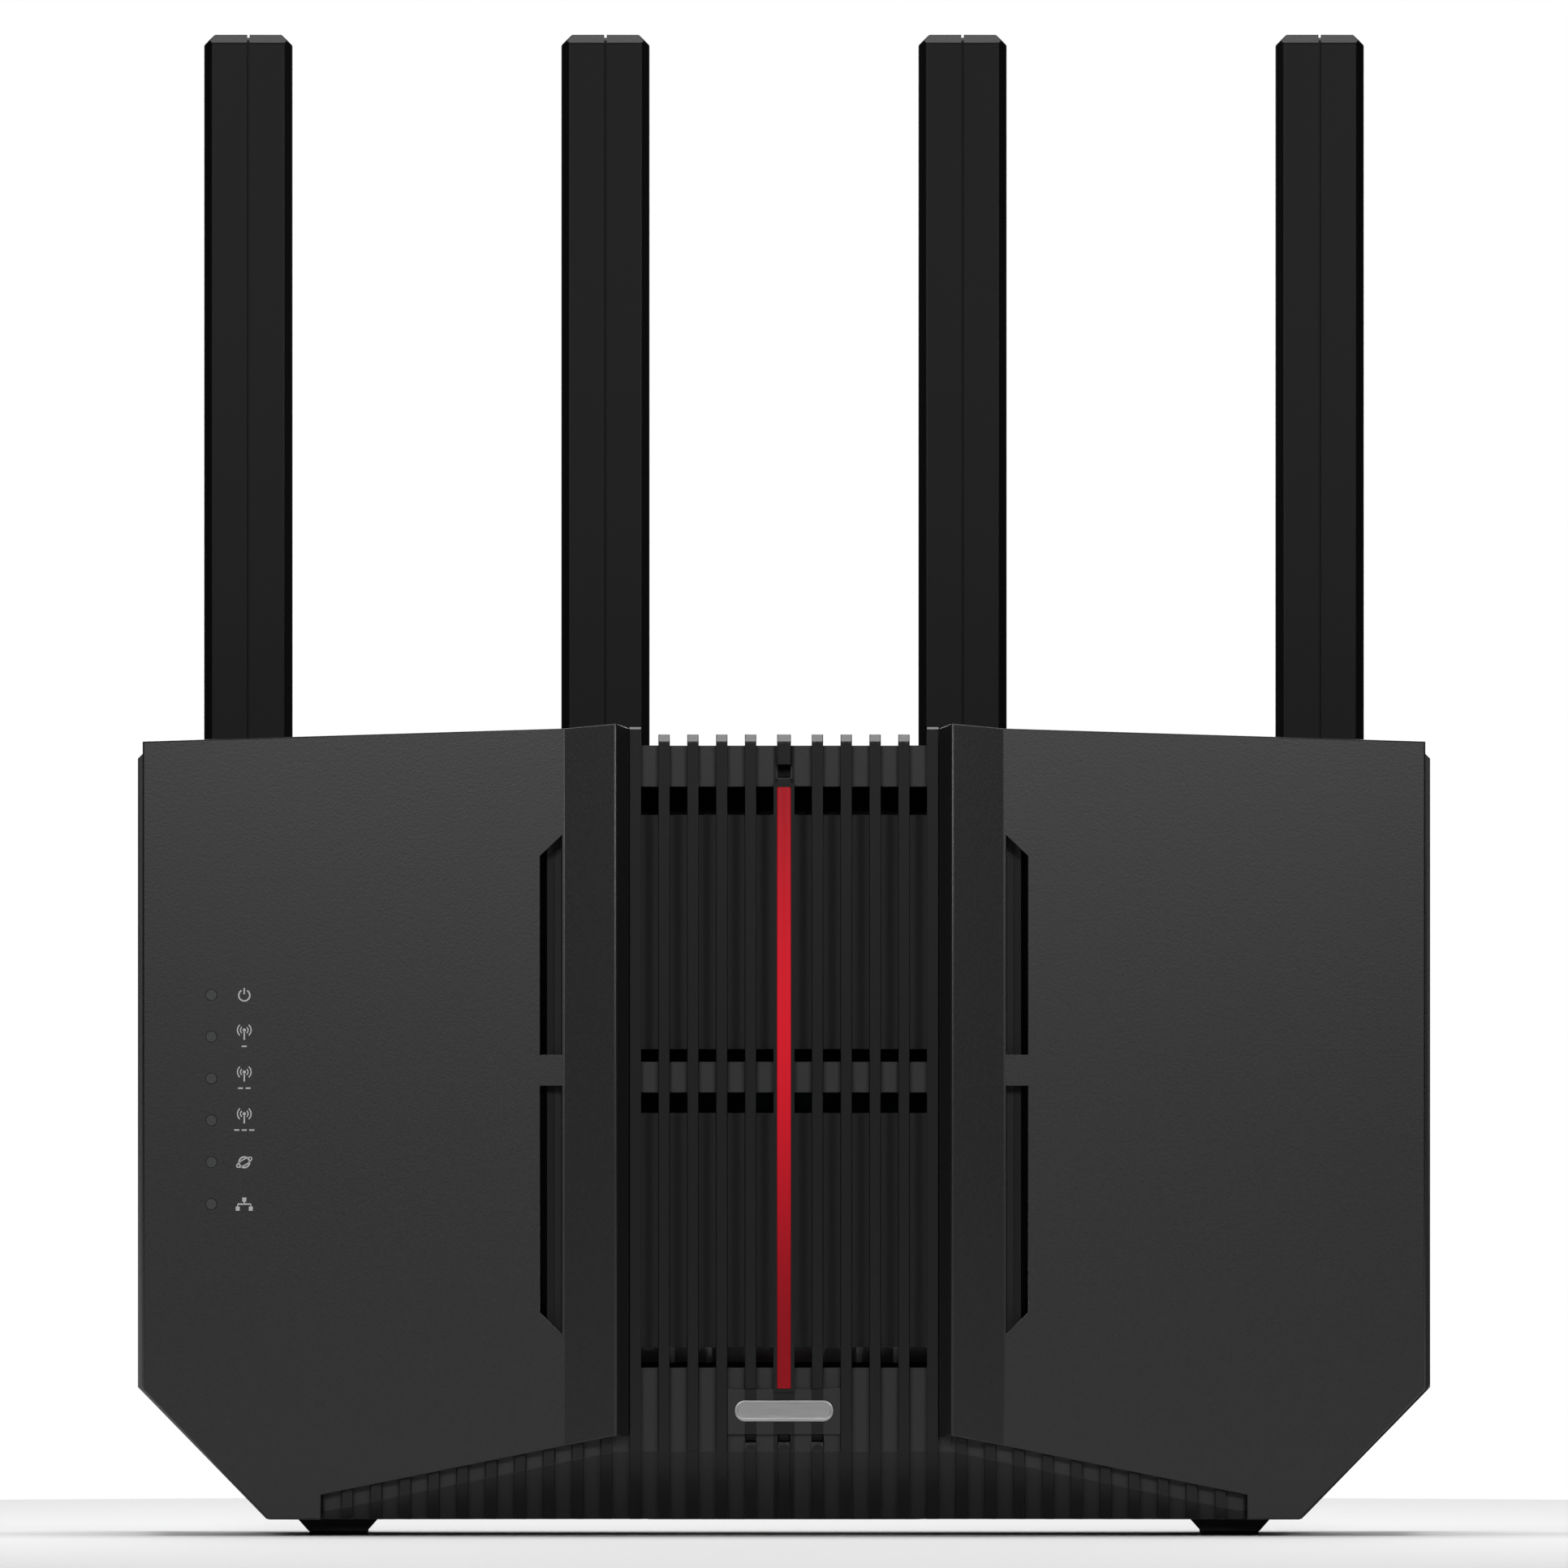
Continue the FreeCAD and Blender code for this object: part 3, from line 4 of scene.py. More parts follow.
import bmesh
import bpy
import numpy as np
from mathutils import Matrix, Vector


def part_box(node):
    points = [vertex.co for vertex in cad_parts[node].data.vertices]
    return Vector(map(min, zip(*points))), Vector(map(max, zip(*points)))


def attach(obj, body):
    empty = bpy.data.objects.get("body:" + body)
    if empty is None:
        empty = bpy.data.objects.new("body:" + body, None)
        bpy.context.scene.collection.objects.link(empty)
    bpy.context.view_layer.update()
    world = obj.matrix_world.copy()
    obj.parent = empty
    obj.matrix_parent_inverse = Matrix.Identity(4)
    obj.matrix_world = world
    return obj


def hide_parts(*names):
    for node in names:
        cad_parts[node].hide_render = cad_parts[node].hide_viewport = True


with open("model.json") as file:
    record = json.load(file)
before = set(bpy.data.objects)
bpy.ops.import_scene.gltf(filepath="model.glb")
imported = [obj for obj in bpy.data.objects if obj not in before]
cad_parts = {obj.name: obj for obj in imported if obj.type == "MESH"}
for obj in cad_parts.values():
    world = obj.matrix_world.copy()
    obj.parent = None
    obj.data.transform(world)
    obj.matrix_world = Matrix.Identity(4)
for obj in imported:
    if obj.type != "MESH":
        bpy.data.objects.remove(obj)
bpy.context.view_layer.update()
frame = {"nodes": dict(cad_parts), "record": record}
NODES = frame["nodes"]
BODY_OF = {node: body for body, members in frame["record"]["behaviour"]["bodies"].items()
           for node in members}
SLOT_OF = {entry["node"]: entry["material_slot"] for entry in frame["record"]["subparts"]}

bl_info = {
    "name": "Upright router",
    "version": (1, 0, 0),
    "blender": (4, 5, 0),
    "location": "View3D > Sidebar > Router",
    "description": "Finished looks of an upright wireless router with paddle antennas",
    "category": "Add Mesh",
}

MM = 0.001

# Sizes that the finishes and pieces share with the CAD, in millimetres.
RIB_PITCH = 5.686        # upright bars of the grille
RIB_FIRST = 6.59         # middle of the first bar beside the light strip
RIB_WIDTH = 2.26
MIDDLE_BAR_HALF = 1.45
SUNKEN_Y = -22.0         # grille surfaces behind this are the sunken panels
EDGE_BAR_SIDE = 28.2     # inner side of the outermost bars
PANEL_FOLD_X = 43.3      # where a wing panel folds into its pillar
PANEL_FOLD_Y = -26.4
PANEL_SWEEP = (-16.8 + 26.4) / (126.6 - 43.3)
HINGE_Z = 127.0          # the paddles' roundings start above this
STATUS_LOW = 65.5        # lowest status window
STATUS_PITCH = 8.26
SYMBOL_X = -106.5
SOCKET_Z = 22.0          # middle of the sockets
LAN_PITCH = 16.0
CONTACTS = 8
CONTACT_PITCH = 1.02
PAD_HALF = 5.7           # half width of a foot's rubber pad
FACET_WIDTH = 2.2        # narrower faces that turn slightly are facets of a curve

# Turns between two faces, in radians: within one flat surface, a facet of a curve, an edge
# worth rounding and an edge that stays sharp to the eye.
FLAT_TURN = math.radians(0.4)
FACET_TURN = (0.01, 0.44)
EDGE_TURN = math.radians(4)
SHARP_TURN = math.radians(35)

# The camera and the middle of the cover, in metres.
CAMERA_REACH = 8.0
FRAME_WIDTH = 0.30912
FRAME_CENTRE = 0.1484
COVER_MIDDLE = Vector((0.0, 0.0, 0.08))


def linear(code):
    """An sRGB hex colour as linear red, green, blue and full alpha."""
    parts = np.array([int(code[i:i + 2], 16) for i in (1, 3, 5)]) / 255
    parts = np.where(parts <= 0.04045, parts / 12.92, ((parts + 0.055) / 1.055) ** 2.4)
    return (*parts.tolist(), 1.0)


# ---------------------------------------------------------------- what a user may change
def colour(label, text, code):
    """A colour setting with an sRGB hex default."""
    return bpy.props.FloatVectorProperty(name=label, description=text, default=linear(code),
                                         size=4, min=0.0, max=1.0, subtype="COLOR")


def length(label, text, millimetres):
    """A length setting with a default in millimetres."""
    return bpy.props.FloatProperty(name=label, description=text, default=millimetres * MM,
                                   min=0.0, unit="LENGTH", precision=5)


class RouterColours(bpy.types.PropertyGroup):
    panel: colour("Panel", "Charcoal of the swept front panels", "#111112")
    cover: colour("Cover", "Near black of the rear cover", "#131314")
    rib: colour("Ribs", "Satin black of the bars and ribs", "#080809")
    beam: colour("Beams", "Grained surface between the bars", "#202021")
    antenna: colour("Antennas", "Near black of the paddles and turrets", "#0b0b0c")
    strip: colour("Light strip", "Red of the light guide", "#7d0c16")
    ink: colour("Ink", "Pad-printed symbols", "#b4b4b4")
    foot: colour("Feet", "Black rubber of the feet", "#030303")


class RouterSizes(bpy.types.PropertyGroup):
    panel_edge: length("Panel edge", "Rounding along the panel edges", 0.35)
    rib_edge: length("Rib edge", "Rounding along bars and ribs", 0.15)
    cover_edge: length("Cover edge", "Rounding along the rear cover", 0.5)
    rim_edge: length("Rim edge", "Rounding along the cover's front rim", 0.9)
    paddle_edge: length("Paddle edge", "Rounding along the antenna paddles", 0.2)
    grain: length("Grain", "Spacing of the spark-eroded grain, drawn as coarse as it shows", 0.5)
    ink_lift: length("Ink lift", "Thickness of a printed symbol", 0.05)
    ink_line: length("Ink line", "Width of a printed line", 0.3)


def colours():
    """The colours a user has set."""
    return bpy.context.scene.router_colours


def sizes():
    """The sizes a user has set."""
    return bpy.context.scene.router_sizes


# ---------------------------------------------------------------- materials
def add(tree, kind, links=(), **settings):
    """One node with its settings and its incoming links as (input, output socket) pairs."""
    node = tree.nodes.new(kind)
    for name, value in settings.items():
        if hasattr(node, name):
            setattr(node, name, value)
        else:
            node.inputs[name.replace("_", " ")].default_value = value
    for name, socket in links:
        tree.links.new(socket, node.inputs[name])
    return node


def material(name, base, roughness, metallic=0.0, **sockets):
    """A new material with a plain shader; returns it with its tree and shader."""
    result = bpy.data.materials.new(name)
    result.use_nodes = True
    tree = result.node_tree
    shader = tree.nodes["Principled BSDF"]
    shader.inputs["Base Color"].default_value = base
    shader.inputs["Roughness"].default_value = roughness
    shader.inputs["Metallic"].default_value = metallic
    for socket, value in sockets.items():
        shader.inputs[socket.replace("_", " ")].default_value = value
    return result, tree, shader


def shade(base, factor):
    """A colour made lighter or darker by a factor."""
    return (*(min(1.0, part * factor) for part in base[:3]), 1.0)


def mottle(tree, shader, base, spacing, depth, spread, swing=0.05, stretch=(1.0, 1.0, 1.0)):
    """Grain: fine noise at a real spacing drives colour, roughness and a shallow bump."""
    coord = add(tree, "ShaderNodeTexCoord")
    scaled = add(tree, "ShaderNodeMapping", [("Vector", coord.outputs["Object"])],
                 Scale=tuple(part / spacing for part in stretch))
    noise = add(tree, "ShaderNodeTexNoise", [("Vector", scaled.outputs["Vector"])],
                Scale=1.0, Detail=2.0, Roughness=0.6)
    tint = add(tree, "ShaderNodeMix", [("Factor", noise.outputs["Fac"])], data_type="RGBA")
    tint.inputs[6].default_value = shade(base, 1.0 - spread)
    tint.inputs[7].default_value = shade(base, 1.0 + spread)
    tree.links.new(tint.outputs[2], shader.inputs["Base Color"])
    middle = shader.inputs["Roughness"].default_value
    gloss = add(tree, "ShaderNodeMapRange", [("Value", noise.outputs["Fac"])],
                To_Min=middle - swing, To_Max=middle + swing)
    tree.links.new(gloss.outputs["Result"], shader.inputs["Roughness"])
    bump = add(tree, "ShaderNodeBump", [("Height", noise.outputs["Fac"])],
               Strength=0.5, Distance=depth)
    tree.links.new(bump.outputs["Normal"], shader.inputs["Normal"])
    return noise


def moulded_panel():
    """ABS moulded in a spark-eroded tool: charcoal, matt, with a fine even sparkle."""
    base = tuple(colours().panel)
    result, tree, shader = material("Moulded ABS, spark-eroded charcoal", base, 0.37)
    mottle(tree, shader, base, sizes().grain, 0.03 * MM, 0.25, 0.06)
    return result


def moulded_cover():
    """ABS in a coarser etched grain: dull, so scuffs on the back don't show."""
    base = tuple(colours().cover)
    result, tree, shader = material("Moulded ABS, etched black", base, 0.57,
                                    Specular_IOR_Level=0.42)
    mottle(tree, shader, base, 1.4 * sizes().grain, 0.07 * MM, 0.2, 0.09)
    return result


def moulded_paddle():
    """ABS with a very fine grain: near black and slightly silky."""
    base = tuple(colours().antenna)
    result, tree, shader = material("Moulded ABS, fine black", base, 0.4,
                                    Specular_IOR_Level=0.14)
    mottle(tree, shader, base, sizes().grain, 0.02 * MM, 0.16, 0.06)
    return result


def moulded_grille():
    """ABS with three textures: satin upright ribs, grained beams, dull sunken panels."""
    rib, beam = tuple(colours().rib), tuple(colours().beam)
    result, tree, shader = material("Moulded ABS, satin ribs over grain", rib, 0.36,
                                    Specular_IOR_Level=0.36)
    noise = mottle(tree, shader, beam, sizes().grain, 0.04 * MM, 0.2)
    grained = shader.inputs["Base Color"].links[0].from_socket
    bump = shader.inputs["Normal"].links[0].from_node
    coord = add(tree, "ShaderNodeTexCoord")
    split = add(tree, "ShaderNodeSeparateXYZ", [("Vector", coord.outputs["Object"])])
    reach = add(tree, "ShaderNodeMath", [(0, split.outputs["X"])], operation="ABSOLUTE")
    from_rib = add(tree, "ShaderNodeMath", [(0, reach.outputs[0])], operation="SUBTRACT")
    from_rib.inputs[1].default_value = RIB_FIRST % RIB_PITCH * MM
    phase = add(tree, "ShaderNodeMath", [(0, from_rib.outputs[0])], operation="PINGPONG")
    phase.inputs[1].default_value = 0.5 * RIB_PITCH * MM
    on_rib = below(tree, phase.outputs[0], 0.52 * RIB_WIDTH * MM)
    in_middle = below(tree, reach.outputs[0], MIDDLE_BAR_HALF * MM)
    smooth = add(tree, "ShaderNodeMath", [(0, on_rib), (1, in_middle)], operation="MAXIMUM")
    proud = below(tree, split.outputs["Y"], SUNKEN_Y * MM)
    both = add(tree, "ShaderNodeMix", [("Factor", smooth.outputs[0]), (6, grained)],
               data_type="RGBA")
    both.inputs[7].default_value = rib
    tree.links.new(both.outputs[2], shader.inputs["Base Color"])
    dull = add(tree, "ShaderNodeMapRange", [("Value", proud)], To_Min=0.55, To_Max=0.38)
    gloss = add(tree, "ShaderNodeMapRange", [("Value", smooth.outputs[0]),
                                             ("To Min", dull.outputs["Result"])], To_Max=0.29)
    uneven = add(tree, "ShaderNodeMath", [(0, noise.outputs["Fac"]),
                                          (2, gloss.outputs["Result"])],
                 operation="MULTIPLY_ADD")
    uneven.inputs[1].default_value = 0.06
    tree.links.new(uneven.outputs[0], shader.inputs["Roughness"])
    grainy = add(tree, "ShaderNodeMapRange", [("Value", smooth.outputs[0])],
                 To_Min=1.0, To_Max=0.15)
    height = add(tree, "ShaderNodeMath", [(0, noise.outputs["Fac"]),
                                          (1, grainy.outputs["Result"])], operation="MULTIPLY")
    tree.links.new(height.outputs[0], bump.inputs["Height"])
    return result


def below(tree, socket, limit):
    """One where a value lies under a limit, nothing elsewhere."""
    test = add(tree, "ShaderNodeMath", [(0, socket)], operation="LESS_THAN")
    test.inputs[1].default_value = limit
    return test.outputs[0]


def red_light_guide():
    """Tinted acrylic lit from behind: deep red, brightest a little above its middle."""
    base = tuple(colours().strip)
    result, tree, shader = material("Tinted acrylic light guide", base, 0.4,
                                    Specular_IOR_Level=0.1)
    coord = add(tree, "ShaderNodeTexCoord")
    split = add(tree, "ShaderNodeSeparateXYZ", [("Vector", coord.outputs["Object"])])
    low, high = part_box("accent_strip")
    centre = low[2] + 0.62 * (high[2] - low[2])
    away = add(tree, "ShaderNodeMath", [(0, split.outputs["Z"])], operation="SUBTRACT")
    away.inputs[1].default_value = centre
    near = add(tree, "ShaderNodeMath", [(0, away.outputs[0])], operation="ABSOLUTE")
    glow = add(tree, "ShaderNodeMapRange", [("Value", near.outputs[0])],
               interpolation_type="SMOOTHSTEP", From_Min=0.0, From_Max=0.55 * (high[2] - low[2]),
               To_Min=0.42, To_Max=0.07)
    shader.inputs["Emission Color"].default_value = linear("#ff1c30")
    tree.links.new(glow.outputs["Result"], shader.inputs["Emission Strength"])
    mottle(tree, shader, base, 0.6 * MM, 0.03 * MM, 0.06)
    return result


def frosted_pipe():
    """Smoked polycarbonate, frosted: an unlit lamp window shows as a dark dull disc."""
    base = linear("#292a2b")
    result, tree, shader = material("Frosted smoked polycarbonate", base, 0.38, IOR=1.58)
    mottle(tree, shader, base, 0.4 * MM, 0.02 * MM, 0.25)
    return result


def pad_ink():
    """Pad-printed ink: flat light grey with a faint mottle."""
    base = tuple(colours().ink)
    result, tree, shader = material("Pad-printed ink, light grey", base, 0.6)
    mottle(tree, shader, base, 0.3 * MM, 0.01 * MM, 0.06)
    return result


def satin_plate():
    """Aluminium, brushed and anodised clear: soft silver with fine sideways lines."""
    base = linear("#a2a2a3")
    result, tree, shader = material("Anodised aluminium, brushed", base, 0.37, metallic=1.0)
    mottle(tree, shader, base, 0.3 * MM, 0.01 * MM, 0.04, 0.09, (0.075, 1.0, 1.5))
    return result


def plain_plastic(name, code, roughness, gloss):
    """A small moulded plastic piece: even colour with a faint orange peel."""
    base = linear(code)
    result, tree, shader = material(name, base, roughness, Specular_IOR_Level=gloss)
    mottle(tree, shader, base, 0.8 * MM, 0.02 * MM, 0.08)
    return result


def plain_metal(name, code, roughness):
    """A small metal piece: drawn or stamped, with fine scratches in its gloss."""
    base = linear(code)
    result, tree, shader = material(name, base, roughness, metallic=1.0)
    mottle(tree, shader, base, 0.25 * MM, 0.01 * MM, 0.06, 0.09)
    return result


def solder_mask():
    """Glass-epoxy board under green solder mask: copper tracks show as lighter bands."""
    base = linear("#0f4a2a")
    result, tree, shader = material("Glass-epoxy board, green mask", base, 0.35)
    mottle(tree, shader, base, 0.5 * MM, 0.01 * MM, 0.1)
    coord = add(tree, "ShaderNodeTexCoord")
    grained = shader.inputs["Base Color"].links[0].from_socket
    tracks = add(tree, "ShaderNodeTexBrick", [("Vector", coord.outputs["Object"]),
                                              ("Color1", grained)],
                 Scale=1 / (8 * MM), Mortar_Size=0.03,
                 Color2=shade(base, 1.25), Mortar=shade(base, 1.9))
    tree.links.new(tracks.outputs["Color"], shader.inputs["Base Color"])
    return result


def rubber():
    """Black rubber: dull, with a slight bloom."""
    base = tuple(colours().foot)
    result, tree, shader = material("Moulded rubber, black", base, 0.75, Specular_IOR_Level=0.05)
    mottle(tree, shader, base, 0.5 * MM, 0.03 * MM, 0.3)
    return result


def label_film():
    """Satin polyester film, left blank: an even silver grey with a soft sheen."""
    base = linear("#9b9b9b")
    result, tree, shader = material("Polyester label film", base, 0.45, metallic=0.2)
    mottle(tree, shader, base, 0.6 * MM, 0.01 * MM, 0.05)
    return result


# The finishes with a pattern of their own.
PATTERNED = {
    "panel_plastic": moulded_panel, "cover_plastic": moulded_cover,
    "grille_plastic": moulded_grille, "antenna_plastic": moulded_paddle,
    "red_lens": red_light_guide, "clear_plastic": frosted_pipe, "ink": pad_ink,
    "badge_metal": satin_plate, "circuit_board": solder_mask, "foot_rubber": rubber,
    "label_film": label_film,
}

# Plain plastics: name, colour, roughness and gloss.
PLAIN = {
    # Painted highlight: a lighter grey line round the front of the cover, standing in for side
    # light grazing the rounded rim.
    "rim": ("Moulded ABS, rim with painted highlight", "#4c4c4d", 0.3, 0.5),
    # Moulded in a blasted tool: as dull as the rubber beside it.
    "foot_plastic": ("Moulded ABS, foot black", "#040404", 0.6, 0.12),
    # Pressed round the chip: a soft grey sheen.
    "chip_black": ("Epoxy moulding compound", "#19191a", 0.5, 0.5),
    # Filled silicone: chalky blue grey with no shine.
    "thermal_pad": ("Silicone gap pad", "#7d8c99", 0.8, 0.5),
    # Extruded jacket: smooth and slightly waxy.
    "coax_jacket": ("Fluoropolymer lead jacket", "#101010", 0.35, 0.5),
    # Injection-moulded body: clear blue that marks the inlet.
    "socket_blue": ("Moulded polyester, blue", "#1d4f9e", 0.42, 0.5),
    # The same body in black, just lighter than the nylon.
    "socket_grey": ("Moulded polyester, black", "#161617", 0.42, 0.5),
    # Glass-filled nylon: black with a faint haze.
    "socket_black": ("Moulded nylon, black", "#121213", 0.45, 0.5),
    # Fine-grained cap: a little lighter than the cover round it.
    "button_plastic": ("Moulded ABS, satin button", "#2f2f30", 0.4, 0.5),
}

# Small metals: name, colour and roughness.
METALS = {
    # Extruded and left bare: pale, with a broad soft shine.
    "heat_sink": ("Extruded aluminium", "#a8a9ab", 0.4),
    # Stamped and plated: bright, warm grey.
    "tinned_steel": ("Nickel-plated steel", "#b9b8b4", 0.25),
    # Drawn wire with a gold flash: small yellow glints.
    "brass_contact": ("Gold-plated bronze", "#d8ab52", 0.22),
    # Hot-blacked: dark, with a soft oily shine.
    "screw_steel": ("Blackened steel", "#4a4a4c", 0.4),
    # Rolled strip: mid grey and slightly glossy.
    "spring_steel": ("Spring steel", "#6a6a6c", 0.35),
}
MATERIALS = {}


def finish_of(slot):
    """The material of a record slot, made once."""
    if slot not in MATERIALS:
        if slot in PATTERNED:
            MATERIALS[slot] = PATTERNED[slot]()
        elif slot in PLAIN:
            MATERIALS[slot] = plain_plastic(*PLAIN[slot])
        else:
            MATERIALS[slot] = plain_metal(*METALS[slot])
    return MATERIALS[slot]


# ---------------------------------------------------------------- surfaces
def wrapped(angle):
    """An angle brought between minus and plus half a turn."""
    return (angle + np.pi) % (2 * np.pi) - np.pi


def soft_outline(corners, radius, steps=4):
    """A polygon with arcs for corners, and its outward normals.

    Each corner turns from the normal of the side before it to the normal of the side after
    it; the arc is its centre plus the radius along that turning normal, and at an inward
    corner the radius counts negative.
    """
    corners = np.asarray(corners, float)
    ahead = np.roll(corners, -1, 0) - corners
    ahead /= np.linalg.norm(ahead, axis=1, keepdims=True)
    behind = np.roll(ahead, 1, 0)
    start = np.arctan2(-behind[:, 0], behind[:, 1])
    turn = wrapped(np.arctan2(-ahead[:, 0], ahead[:, 1]) - start)
    signed = np.where(turn >= 0, radius, -radius)[:, None]
    n_start = np.stack([np.cos(start), np.sin(start)], 1)
    n_end = np.stack([np.cos(start + turn), np.sin(start + turn)], 1)
    centre = corners - signed * (n_start + n_end) / (1 + (n_start * n_end).sum(1))[:, None]
    angle = start[:, None] + turn[:, None] * np.linspace(0, 1, steps + 1)
    normal = np.stack([np.cos(angle), np.sin(angle)], 2)
    points = centre[:, None] + signed[:, None] * normal
    return points.reshape(-1, 2), normal.reshape(-1, 2)


def turned_to(axis, across, along):
    """Points with two coordinates across an axis and one along it, as x, y, z."""
    u, v, w = across[..., 0], across[..., 1], along
    order = {"x": (w, u, v), "y": (u, w, v), "z": (u, v, w)}[axis]
    return np.stack(np.broadcast_arrays(*order), -1)


def grid_faces(rows, columns, wrap_rows=False, wrap_columns=False):
    """Quads over a grid of points, row by row; a wrapped direction closes on itself."""
    r = np.arange(rows if wrap_rows else rows - 1)[:, None]
    c = np.arange(columns if wrap_columns else columns - 1)[None, :]
    corner = [r % rows * columns + c % columns, r % rows * columns + (c + 1) % columns,
              (r + 1) % rows * columns + (c + 1) % columns, (r + 1) % rows * columns + c % columns]
    return np.stack(np.broadcast_arrays(*corner), -1).reshape(-1, 4)


def capped(rings):
    """A closed shape from rings of points: quads between rings, a flat face at each end."""
    rows, columns = rings.shape[:2]
    faces = grid_faces(rows, columns, wrap_columns=True).tolist()
    first = list(range(columns))
    last = [(rows - 1) * columns + index for index in first]
    return rings.reshape(-1, 3), faces + [first[::-1], last]


def soft_prism(corners, axis, span, corner=0.5, edge=0.3, steps=3):
    """A rounded polygon along an axis with rounded rims, all in millimetres.

    Near each end the outline draws in by edge * (1 - sin t) while it moves in from the end
    by edge * (1 - cos t), for t from nothing to a right angle.
    """
    outline, normal = soft_outline(corners, corner)
    t = np.linspace(0, np.pi / 2, steps + 1)
    inset = edge * (1 - np.sin(t))
    level = edge * (1 - np.cos(t))
    inset = np.concatenate([inset, inset[::-1]])
    level = np.concatenate([span[0] + level, (span[1] - level)[::-1]])
    ring = outline[None] - inset[:, None, None] * normal[None]
    return capped(turned_to(axis, ring, level[:, None]))


def block(low, high, axis="y", corner=0.4, edge=0.3):
    """A rounded block between two corners, with its rims across the axis."""
    low, high = np.asarray(low, float), np.asarray(high, float)
    index = "xyz".index(axis)
    a, b = [i for i in range(3) if i != index]
    corners = [(low[a], low[b]), (high[a], low[b]), (high[a], high[b]), (low[a], high[b])]
    return soft_prism(corners, axis, (low[index], high[index]), corner, edge)


def turned(profile, centre, axis, count=48):
    """A profile of (radius, height) pairs turned round an axis through the centre."""
    profile = np.asarray(profile, float)
    angle = np.linspace(0, 2 * np.pi, count, endpoint=False)
    circle = np.stack([np.cos(angle), np.sin(angle)], 1)
    across = profile[:, 0][:, None, None] * circle[None]
    points = turned_to(axis, across, profile[:, 1][:, None])
    points = points + np.asarray(centre, float)
    return points.reshape(-1, 3), grid_faces(len(profile), count, wrap_columns=True).tolist()


def carried(section, path, closed=False):
    """A flat section carried along a flat path: the section's first number runs across the
    path in its plane, its second number lifts off the plane."""
    path = np.asarray(path, float)
    if closed:
        forward = np.roll(path, -1, 0) - np.roll(path, 1, 0)
    else:
        forward = np.gradient(path, axis=0)
    forward /= np.linalg.norm(forward, axis=1, keepdims=True)
    side = np.stack([forward[:, 1], -forward[:, 0]], 1)
    section = np.asarray(section, float)
    flat = path[:, None] + side[:, None] * section[None, :, :1]
    lift = np.broadcast_to(section[None, :, 1], flat.shape[:2])
    return flat, lift


def ribbon(path, width, closed=False):
    """A printed line: a low rectangle carried along a path. Returns flat points, lift, faces."""
    half = width / 2
    section = [(-half, 0.0), (half, 0.0), (half, 1.0), (-half, 1.0)]
    flat, lift = carried(section, path, closed)
    rows = len(flat)
    faces = grid_faces(rows, 4, wrap_rows=closed, wrap_columns=True).tolist()
    if not closed:
        faces += [[3, 2, 1, 0], [(rows - 1) * 4 + i for i in range(4)]]
    return flat.reshape(-1, 2), lift.reshape(-1), faces


def arc(centre, radius, start, end, count=24):
    """Points on a circle between two angles in degrees."""
    angle = np.radians(np.linspace(start, end, count))
    return np.stack([centre[0] + radius * np.cos(angle), centre[1] + radius * np.sin(angle)], 1)


def joined(patches):
    """Several (points, faces) patches as one."""
    points = []
    faces = []
    start = 0
    for patch_points, patch_faces in patches:
        points.append(np.asarray(patch_points, float).reshape(-1, 3))
        faces += [[start + index for index in face] for face in patch_faces]
        start += len(points[-1])
    return np.concatenate(points), faces


def settle(mesh):
    """Merge doubles, point every face outwards and keep only real edges sharp."""
    work = bmesh.new()
    work.from_mesh(mesh)
    bmesh.ops.remove_doubles(work, verts=work.verts, dist=1e-6)
    bmesh.ops.recalc_face_normals(work, faces=work.faces)
    work.to_mesh(mesh)
    work.free()
    mesh.shade_smooth()
    mesh.set_sharp_from_angle(angle=SHARP_TURN)


def new_piece(name, patches, slot, body, replaces=()):
    """A mesh object from patches in millimetres, finished, riding on a body."""
    points, faces = joined(patches)
    mesh = bpy.data.meshes.new(name)
    mesh.from_pydata((points * MM).tolist(), [], faces)
    settle(mesh)
    mesh.materials.append(finish_of(slot))
    piece = bpy.data.objects.new(name, mesh)
    bpy.context.scene.collection.objects.link(piece)
    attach(piece, body)
    if replaces:
        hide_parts(*replaces)
    return piece


def clean(edge):
    """An edge whose ends meet real edges only, none that lies within a flat surface."""
    return all(other.calc_face_angle(0.0) > 0.02
               for vert in edge.verts for other in vert.link_edges)


def rear_edge(edge):
    """An edge with at least one face that looks to the rear."""
    return max(face.normal.y for face in edge.link_faces) > 0.5


def front_edge(edge):
    """An edge with at least one face that looks to the front."""
    return min(face.normal.y for face in edge.link_faces) < -0.5


